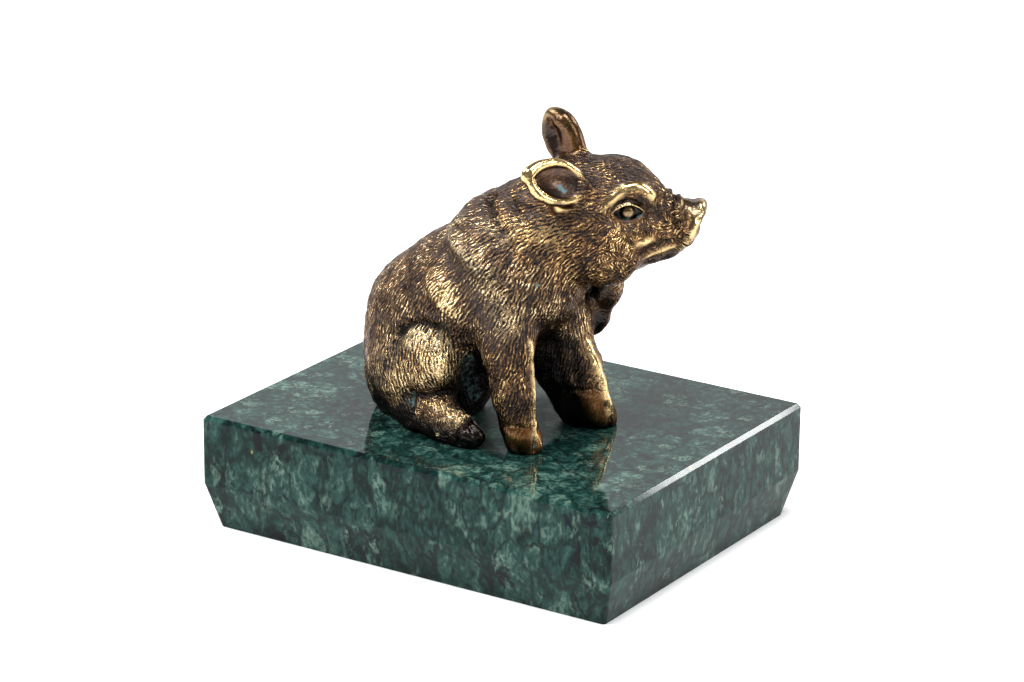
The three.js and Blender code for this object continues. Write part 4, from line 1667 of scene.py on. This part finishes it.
    def crease_shade_touches(self) -> dict[str, Touch]:
        """Where painted shade darkens the body's creases, the raised leg and the back of the foreleg.

        Returns:
            The touches by name.
        """
        return {
            "hock": Touch(((-7.1, -19.1, 26.6), (-7.7, -18.9, 24.6)), 1.5, 0.8),
            "thigh_foot": Touch(((-2.2, -18.8, 29.2), (-1.0, -17.7, 28.8), (-0.1, -17.0, 29.5)), 0.9, 0.5),
            "ankle": Touch(self.ankle, 0.5, 0.85),
            "knee_fold": Touch(self.knee_fold, 0.6, 0.6),
            "nape_fold": Touch(self.nape_fold, 0.5, 0.6),
            "raised_shank": Touch(self.raised_shank, 3.0, 0.5),
            "foreleg_back": Touch(((9.6, -17.2, 33.0), (11.4, -17.6, 26.0)), 2.8, 0.5),
        }

    def face_shade_touches(self) -> dict[str, Touch]:
        """Where painted shade darkens the face's creases and the throat, in the folded head axes.

        Returns:
            The touches by name.
        """
        return {
            "lip_fold": Touch(self.lip_fold, 0.5, 0.85),
            "mouth": Touch(self.mouth, 0.45, 0.9),
            "jowl": Touch(self.jowl, 0.4, 0.5),
            "throat": Touch(((12.0, 0.8, -7.6), (7.4, 2.4, -9.4)), 1.8, 0.72),
        }

    def green_touches(self) -> dict[str, Touch]:
        """Where verdigris has gathered on the body; between the thigh and the foreleg it also stands in for a
        painted blue-grey reflection.

        Returns:
            The touches by name.
        """
        return {
            "ham_crease": Touch(self.ham_crease[1:4], 0.34, 0.95),
            "hock": Touch(((-7.0, -19.1, 26.4), (-6.6, -19.0, 24.2)), 1.3, 0.62),
            "near_cleft": Touch(((15.9, -15.4, 24.0), (16.3, -15.7, 20.5)), 0.36, 0.85),
            "chest": Touch(((14.6, -13.1, 48.2),), 0.8, 0.85),
            "armpit": Touch(((7.0, -18.2, 42.5), (8.4, -18.6, 39.8)), 0.9, 0.6),
            # Verdigris that also stands in for a painted blue-grey reflection between the thigh and the foreleg.
            "groin_verdigris_and_reflection": Touch(((1.2, -13.4, 33.0), (-0.3, -11.3, 28.8), (-0.6, -8.0, 25.0)), 3.0, 0.68),
        }

    def warm_touches(self) -> dict[str, Touch]:
        """Where the body's bronze is lighter and warmer; on the flank ridge this is a painted highlight.

        Returns:
            The touches by name.
        """
        return {
            "thigh": Touch(((-8.0, -18.0, 27.0), (-4.0, -18.0, 33.0), (0.0, -17.5, 32.0)), 4.2, 0.8),
            "far_leg": Touch(((17.0, 1.0, 36.0), (19.5, 2.0, 22.0)), 2.5, 0.6),
            "instep": Touch(((0.0, -18.0, 25.0), (3.0, -17.5, 24.5)), 3.0, 0.7),
            # Painted highlight: the flank ridge is lightened where light catches its bulge.
            "flank_ridge": Touch(((-2.8, -17.0, 47.0), (0.6, -17.5, 42.5)), 2.6, 0.7),
            "neck_ridge": Touch(((7.0, -13.7, 57.0), (13.0, -12.3, 56.3)), 2.6, 0.7),
        }

    def polish(self, seen: Survey, rims: Array, relief: Array, bare: Array, crest: Array, folds: Array) -> Array:
        """Where the bronze is rubbed bright, with painted highlights on the eye's ball, the neck ridge and the hind
        toe.

        Args:
            seen: The readings of the surface.
            rims: Where the ears' edges are rubbed.
            relief: The hair's height, even where there is none.
            bare: Where there is no hair.
            crest: Where the finished surface stands out.
            folds: How deep the larger folds are, in millimetres.

        Returns:
            Shares from 0 to 1.
        """
        face = (Line(self.brow, 0.72, 1.0, 0.4), Line(self.upper_lip, 0.6, 0.9, 0.3), Line(self.lip, 0.4, 0.8))
        rubbed = np.maximum.reduce([
            strongest(self.rubbed_touches().values(), seen.points),
            *[line.lift(seen.folded) for line in face],
            self.eye.glint(seen.folded),
            rims,
            self.nose_edge(seen.folded),
            0.14 * seen.disc,
        ])
        rubbed = np.clip(rubbed * (0.35 + 0.65 * np.maximum(relief, bare)) + 0.12 * crest * bare, 0.0, 1.0)
        return rubbed * (1 - smooth_step(folds, 0.05, 0.2)) * (1 - self.under_lobe(seen))

    def purple_patina_and_shade(self, seen: Survey, rims: Array, normals: Array) -> Array:
        """Where the bronze is a dull purple brown, as patina and as painted shade.

        Args:
            seen: The readings of the surface.
            rims: Where the ears' edges are rubbed.
            normals: The finished surface's directions.

        Returns:
            Shares from 0 to 1.
        """
        # Painted shade on the surfaces of the back and head that face up.
        above = smooth_step(normals[:, 2], 0.35, 0.85) * smooth_step(seen.points[:, 2], 46.0, 54.0)
        face = (
            Touch(((12.0, 1.5, -7.0), (8.0, 3.2, -8.6)), 2.2, 0.9),
            Touch(self.under_eye, 0.9, 0.75),
        )
        # The ears' hollows, the jaw, the eye, the flank's valley and the far ear's back half take painted shade.
        return np.maximum.reduce([
            0.8 * above * (1 - rims),
            0.8 * self.ear_floors(seen),
            strongest(face, seen.folded),
            Touch(self.valley, 2.6, 0.6).amount(seen.points),
            0.55 * self.eye.near(seen.folded, 2.6),
            0.5 * self.back_half(seen) * seen.far_leaf * (1 - rims),
        ])

    def depth(self, seen: Survey, rims: Array, normals: Array, grooves: Array, folds: Array, polish: Array) -> Array:
        """Where it is nearly black: dark patina in grooves and folds, painted shade in creases, sheltered places and
        near the stone.

        Args:
            seen: The readings of the surface.
            rims: Where the ears' edges are rubbed.
            normals: The finished surface's directions.
            grooves: Where the hair's grooves are.
            folds: How deep the larger folds are, in millimetres.
            polish: Where the bronze is rubbed bright.

        Returns:
            Shares from 0 to 1.
        """
        x, y, z = seen.points.T
        # Painted shade between the thigh and the foreleg.
        gap = Touch(((1.5, -14.0, 36.5), (1.0, -13.0, 31.0), (-0.5, -9.5, 25.5)), 3.2, 0.3).amount(seen.points)
        # Painted shade on the far foreleg's side that faces the near leg.
        inner = smooth_step(-normals[:, 1], 0.1, 0.75) * smooth_step(y, -7.0, -4.5) * smooth_step(z, 38.5, 36.5)
        inner = 0.8 * inner * smooth_step(x, 18.4, 15.0) * smooth_step(x, 5.0, 7.0)
        hind_hoof = 0.6 * seen.hoof * smooth_step(x, 9.4, 8.6)
        creases = np.maximum(strongest(self.crease_shade_touches().values(), seen.points), hind_hoof)
        # Painted shade on the far ear, away from its rubbed rims.
        far_ear = (0.58 - 0.22 * self.back_half(seen)) * seen.far_leaf * (1 - rims)
        # Dark patina in the folds and the hair's grooves; painted shade in sheltered places.
        depth = smooth_step(folds, 0.08, 0.34) + grooves + smooth_step(seen.shelter, 0.38, 0.8) + gap
        # Painted shade on the snout disc inside its rim.
        depth += far_ear + 0.38 * seen.disc * (1 - self.nose_edge(seen.folded))
        # Painted shade on the parts near the stone.
        depth += 0.95 * smooth_step(z, 25.4, 22.2) * smooth_step(x, 8.0, 7.0) + inner + creases
        # Painted shadow under the near ear.
        below_ear = Touch(((-9.0, -10.6, 3.4), (-5.6, -9.6, 2.2), (-2.6, -8.8, 2.2)), 1.3, 0.6)
        depth = np.maximum.reduce([
            depth,
            strongest(self.face_shade_touches().values(), seen.folded),
            self.under_lobe(seen),
            below_ear.amount(seen.local),
            self.eye.shade(seen.folded),
        ])
        bright = np.maximum(self.eye.glint(seen.folded), 0.85 * smooth_step(polish, 0.5, 0.9))
        return np.clip(depth, 0.0, 0.97) * (1 - bright)

    def verdigris(self, seen: Survey) -> Array:
        """Where verdigris has gathered, with a painted reflection between the thigh and the foreleg, from 0 to 1.

        Args:
            seen: The readings of the surface.

        Returns:
            Shares of verdigris.
        """
        cup = Touch(((-6.2, -9.1, 6.9), (-5.4, -9.2, 6.4)), 0.7, 0.95).amount(seen.local)
        body = strongest(self.green_touches().values(), seen.points)
        return np.maximum.reduce([body, self.eye.green_rim(seen.folded), cup, 0.4 * self.ear_floors(seen)])

    def warmth(self, seen: Survey) -> Array:
        """Where the bronze is lighter and warmer, with a painted highlight on the flank ridge, from 0 to 1.

        Args:
            seen: The readings of the surface.

        Returns:
            Shares of warmth.
        """
        return np.maximum.reduce([
            strongest(self.warm_touches().values(), seen.points),
            Touch(((4.0, 8.0, -4.0), (8.0, 6.0, -2.0)), 5.0, 0.42).amount(seen.folded),
            0.9 * seen.hoof * smooth_step(seen.points[:, 0], 8.0, 10.0),
            seen.far_leaf * (0.9 - 0.6 * self.back_half(seen)),
        ])

    def fineness(self, seen: Survey) -> Array:
        """Where the chisel's strokes lie closer together, from 0 to 1.

        Args:
            seen: The readings of the surface.

        Returns:
            Shares, largest on the rump, the hind foot and the cheeks.
        """
        rump = (
            Touch(((-17.0, -11.0, 36.0), (-11.0, -12.0, 49.0)), 8.0, 0.7),
            Touch(((-3.0, -19.0, 25.0), (3.0, -19.0, 24.0)), 3.0, 1.0),
        )
        cheek = Touch(((3.0, 8.0, -4.0), (8.0, 6.0, -2.0)), 5.0, 0.7)
        return np.maximum(strongest(rump, seen.points), cheek.amount(seen.folded))

    def marks(self, clay: Clay, seen: Survey, hair: Array, bare: Array, folds: Array) -> dict[str, Array]:
        """Works out where the bronze is rubbed, dark or green, and where shade and highlights are painted.

        Args:
            clay: The finished surface.
            seen: The readings of the surface before it was worked.
            hair: The hair's height.
            bare: Where there is no hair.
            folds: How deep the larger folds are, in millimetres.

        Returns:
            The marks by name.
        """
        normals = clay.normals()
        crest = smooth_step(-clay.hollowness(5), 0.01, 0.06)
        relief = hair * (1 - bare) + self.bare_tone * bare
        grooves = 0.75 * smooth_step(relief, 0.45, 0.05) * (1 - bare)
        rims = self.ear_rims(seen, normals)
        polish = self.polish(seen, rims, relief, bare, crest, folds)
        warm = self.warmth(seen)
        head = smooth_step(self.head.reach(seen.local), 17.0, 12.0)
        legs = smooth_step(seen.points[:, 2], 44.0, 34.0) * smooth_step(seen.points[:, 0], 4.0, 9.0)
        honey = np.maximum.reduce([0.9 * head, 0.9 * seen.near_leaf, 0.8 * legs, 0.6 * warm])
        return {
            "finer": self.fineness(seen),
            "warm": warm,
            "honey": np.clip(honey, 0.0, 1.0),
            "relief": relief,
            "hair": 1 - bare,
            "across": np.cross(normals, self.curled(seen, normals)),
            "polish": polish * (1 - smooth_step(seen.shelter, 0.5, 0.9)),
            "purple_patina_and_shade": self.purple_patina_and_shade(seen, rims, normals),
            # Painted shade and dark patina.
            "depth": self.depth(seen, rims, normals, grooves, folds, polish),
            "verdigris": self.verdigris(seen),
        }

    def build(self) -> bpy.types.Object:
        """Makes the figure's fine mesh with its marks.

        Returns:
            The piece, in place.
        """
        mesh = self.surface()
        clay = Clay(mesh)
        marks = self.model(clay)
        clay.store()
        for name, values in marks.items():
            clay.paint(name, values)
        mesh.polygons.foreach_set("use_smooth", np.ones(len(mesh.polygons), bool))
        piece = add_piece("bronze_piglet", mesh)
        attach(piece, "root")
        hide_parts(self.node)
        return piece

    def dress(self, piece: bpy.types.Object) -> None:
        """Gives the figure its bronze."""
        piece.data.materials.clear()
        piece.data.materials.append(BronzeFinish().material())


@dataclass
class Plinth:
    """The marble block: chamfered round the top, undercut round the foot, its edges eased."""

    node: str = "plinth"
    length: float = 80.0
    depth: float = 62.0
    height: float = 20.0
    undercut: float = 8.0
    inset: float = 2.1
    chamfer: float = 0.9
    corner: float = 0.7
    ease: float = 0.12

    def build(self) -> bpy.types.Object:
        """Makes the block.

        Returns:
            The piece, in place.
        """
        block = bmesh.new()
        bmesh.ops.create_cube(block, size=1.0)
        bmesh.ops.translate(block, verts=block.verts, vec=(0.0, 0.0, 0.5))
        bmesh.ops.scale(block, verts=block.verts, vec=(self.length * MM, self.depth * MM, self.height * MM))
        everything = block.verts[:] + block.edges[:] + block.faces[:]
        bmesh.ops.bisect_plane(block, geom=everything, plane_co=(0, 0, self.undercut * MM), plane_no=(0, 0, 1))
        foot = [v for v in block.verts if v.co.z < 0.1 * MM]
        taper = (1 - 2 * self.inset / self.length, 1 - 2 * self.inset / self.depth, 1.0)
        bmesh.ops.scale(block, verts=foot, vec=taper)
        upright = [e for e in block.edges if abs(e.verts[0].co.z - e.verts[1].co.z) > 1 * MM]
        self.soften(block, upright, self.corner, 5)
        top = [e for e in block.edges if all(v.co.z > (self.height - 0.01) * MM for v in e.verts)]
        self.soften(block, top, self.chamfer, 1)
        arris = [e for e in block.edges if e.calc_face_angle(0.0) > math.radians(8)]
        self.soften(block, arris, self.ease, 2)
        bmesh.ops.recalc_face_normals(block, faces=block.faces)
        mesh = bpy.data.meshes.new("marble_plinth")
        block.to_mesh(mesh)
        block.free()
        piece = add_piece("marble_plinth", mesh)
        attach(piece, "root")
        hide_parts(self.node)
        return piece

    def soften(self, block: bmesh.types.BMesh, edges: list[bmesh.types.BMEdge], size: float, segments: int) -> None:
        """Bevels edges of the block.

        Args:
            block: The block.
            edges: The edges.
            size: How far the bevel reaches along each face, in millimetres.
            segments: How many facets it has.
        """
        bmesh.ops.bevel(
            block,
            geom=edges,
            offset=size * MM,
            offset_type="OFFSET",
            affect="EDGES",
            segments=segments,
            profile=0.5,
            material=-1,
            clamp_overlap=True,
        )

    def dress(self, piece: bpy.types.Object) -> None:
        """Gives the block its marble."""
        piece.data.materials.append(MarbleFinish().material())


@dataclass(frozen=True)
class Lamp:
    """A soft lamp: its name, its place and its width and height in metres, and its power in watts."""

    name: str
    place: Point
    size: tuple[float, float]
    power: float

    def hang(self, target: Point) -> None:
        """Hangs the lamp so that it faces a point.

        Args:
            target: The point, in metres.
        """
        data = bpy.data.lights.new(self.name, "AREA")
        data.shape = "RECTANGLE"
        data.size, data.size_y = self.size
        data.energy = self.power
        lamp = bpy.data.objects.new(self.name, data)
        lamp.location = self.place
        lamp.rotation_euler = (Vector(target) - Vector(self.place)).to_track_quat("-Z", "Y").to_euler()
        bpy.context.scene.collection.objects.link(lamp)


@dataclass
class Studio:
    """The pale floor, the soft lamps and the camera."""

    floor_size: float = 3.0
    view_from: Point = (0.34243, -0.53268, 0.25188)
    view_right: Point = (0.841, 0.542, 0.009)
    view_up: Point = (-0.185, 0.271, 0.945)
    lens: float = 141.3
    sensor: float = 36.0
    sky: Colour = (0.82, 0.84, 0.87, 1.0)
    sky_strength: float = 0.24
    target: Point = (0.0, 0.0, 0.045)
    lamps: tuple[Lamp, ...] = (
        Lamp("overhead", (0.2, -0.05, 0.9), (0.3, 0.3), 6.0),
        Lamp("side", (0.78, -0.1, 0.47), (0.3, 0.35), 2.4),
        Lamp("front", (-0.28, -0.52, 0.74), (0.28, 0.28), 8.0),
        Lamp("left", (-0.8, -0.1, 0.6), (0.6, 0.5), 5.6),
        Lamp("kicker", (0.62, 0.8, 0.16), (0.22, 0.22), 1.6),
        Lamp("strip", (0.3, 0.73, 0.47), (0.14, 0.14), 2.2),
        Lamp("backdrop", (-0.3, 1.0, 0.3), (2.4, 0.6), 4.6),
    )

    def floor(self) -> None:
        """Lays the pale floor."""
        sheet = bmesh.new()
        bmesh.ops.create_grid(sheet, x_segments=1, y_segments=1, size=self.floor_size / 2)
        mesh = bpy.data.meshes.new("floor")
        sheet.to_mesh(mesh)
        sheet.free()
        mesh.materials.append(PaperFinish().material())
        add_piece("floor", mesh)

    def light(self) -> None:
        """Hangs the lamps and sets the even light around."""
        world = bpy.data.worlds.new("studio")
        world.use_nodes = True
        background = world.node_tree.nodes["Background"]
        background.inputs["Color"].default_value = self.sky
        background.inputs["Strength"].default_value = self.sky_strength
        bpy.context.scene.world = world
        for lamp in self.lamps:
            lamp.hang(self.target)

    def camera(self) -> None:
        """Sets the camera at the photograph's angle."""
        data = bpy.data.cameras.new("camera")
        data.sensor_width = self.sensor
        data.lens = self.lens
        data.clip_start, data.clip_end = 0.01, 20.0
        eye = bpy.data.objects.new("camera", data)
        right = Vector(self.view_right).normalized()
        back = right.cross(Vector(self.view_up)).normalized()
        up = back.cross(right)
        turn = Matrix((right, up, back)).transposed().to_4x4()
        eye.matrix_world = Matrix.Translation(self.view_from) @ turn
        bpy.context.scene.collection.objects.link(eye)
        bpy.context.scene.camera = eye
        bpy.context.scene.view_settings.view_transform = "Standard"


def main() -> None:
    """Builds and dresses the sculpture and its studio."""
    logging.basicConfig(level=logging.INFO, format="%(name)s: %(message)s")
    for maker in (Plinth(), Piglet()):
        piece = maker.build()
        maker.dress(piece)
        LOG.info("%s: %d faces", piece.name, len(piece.data.polygons))
    studio = Studio()
    studio.floor()
    studio.light()
    studio.camera()


if __name__ == "__main__":
    main()
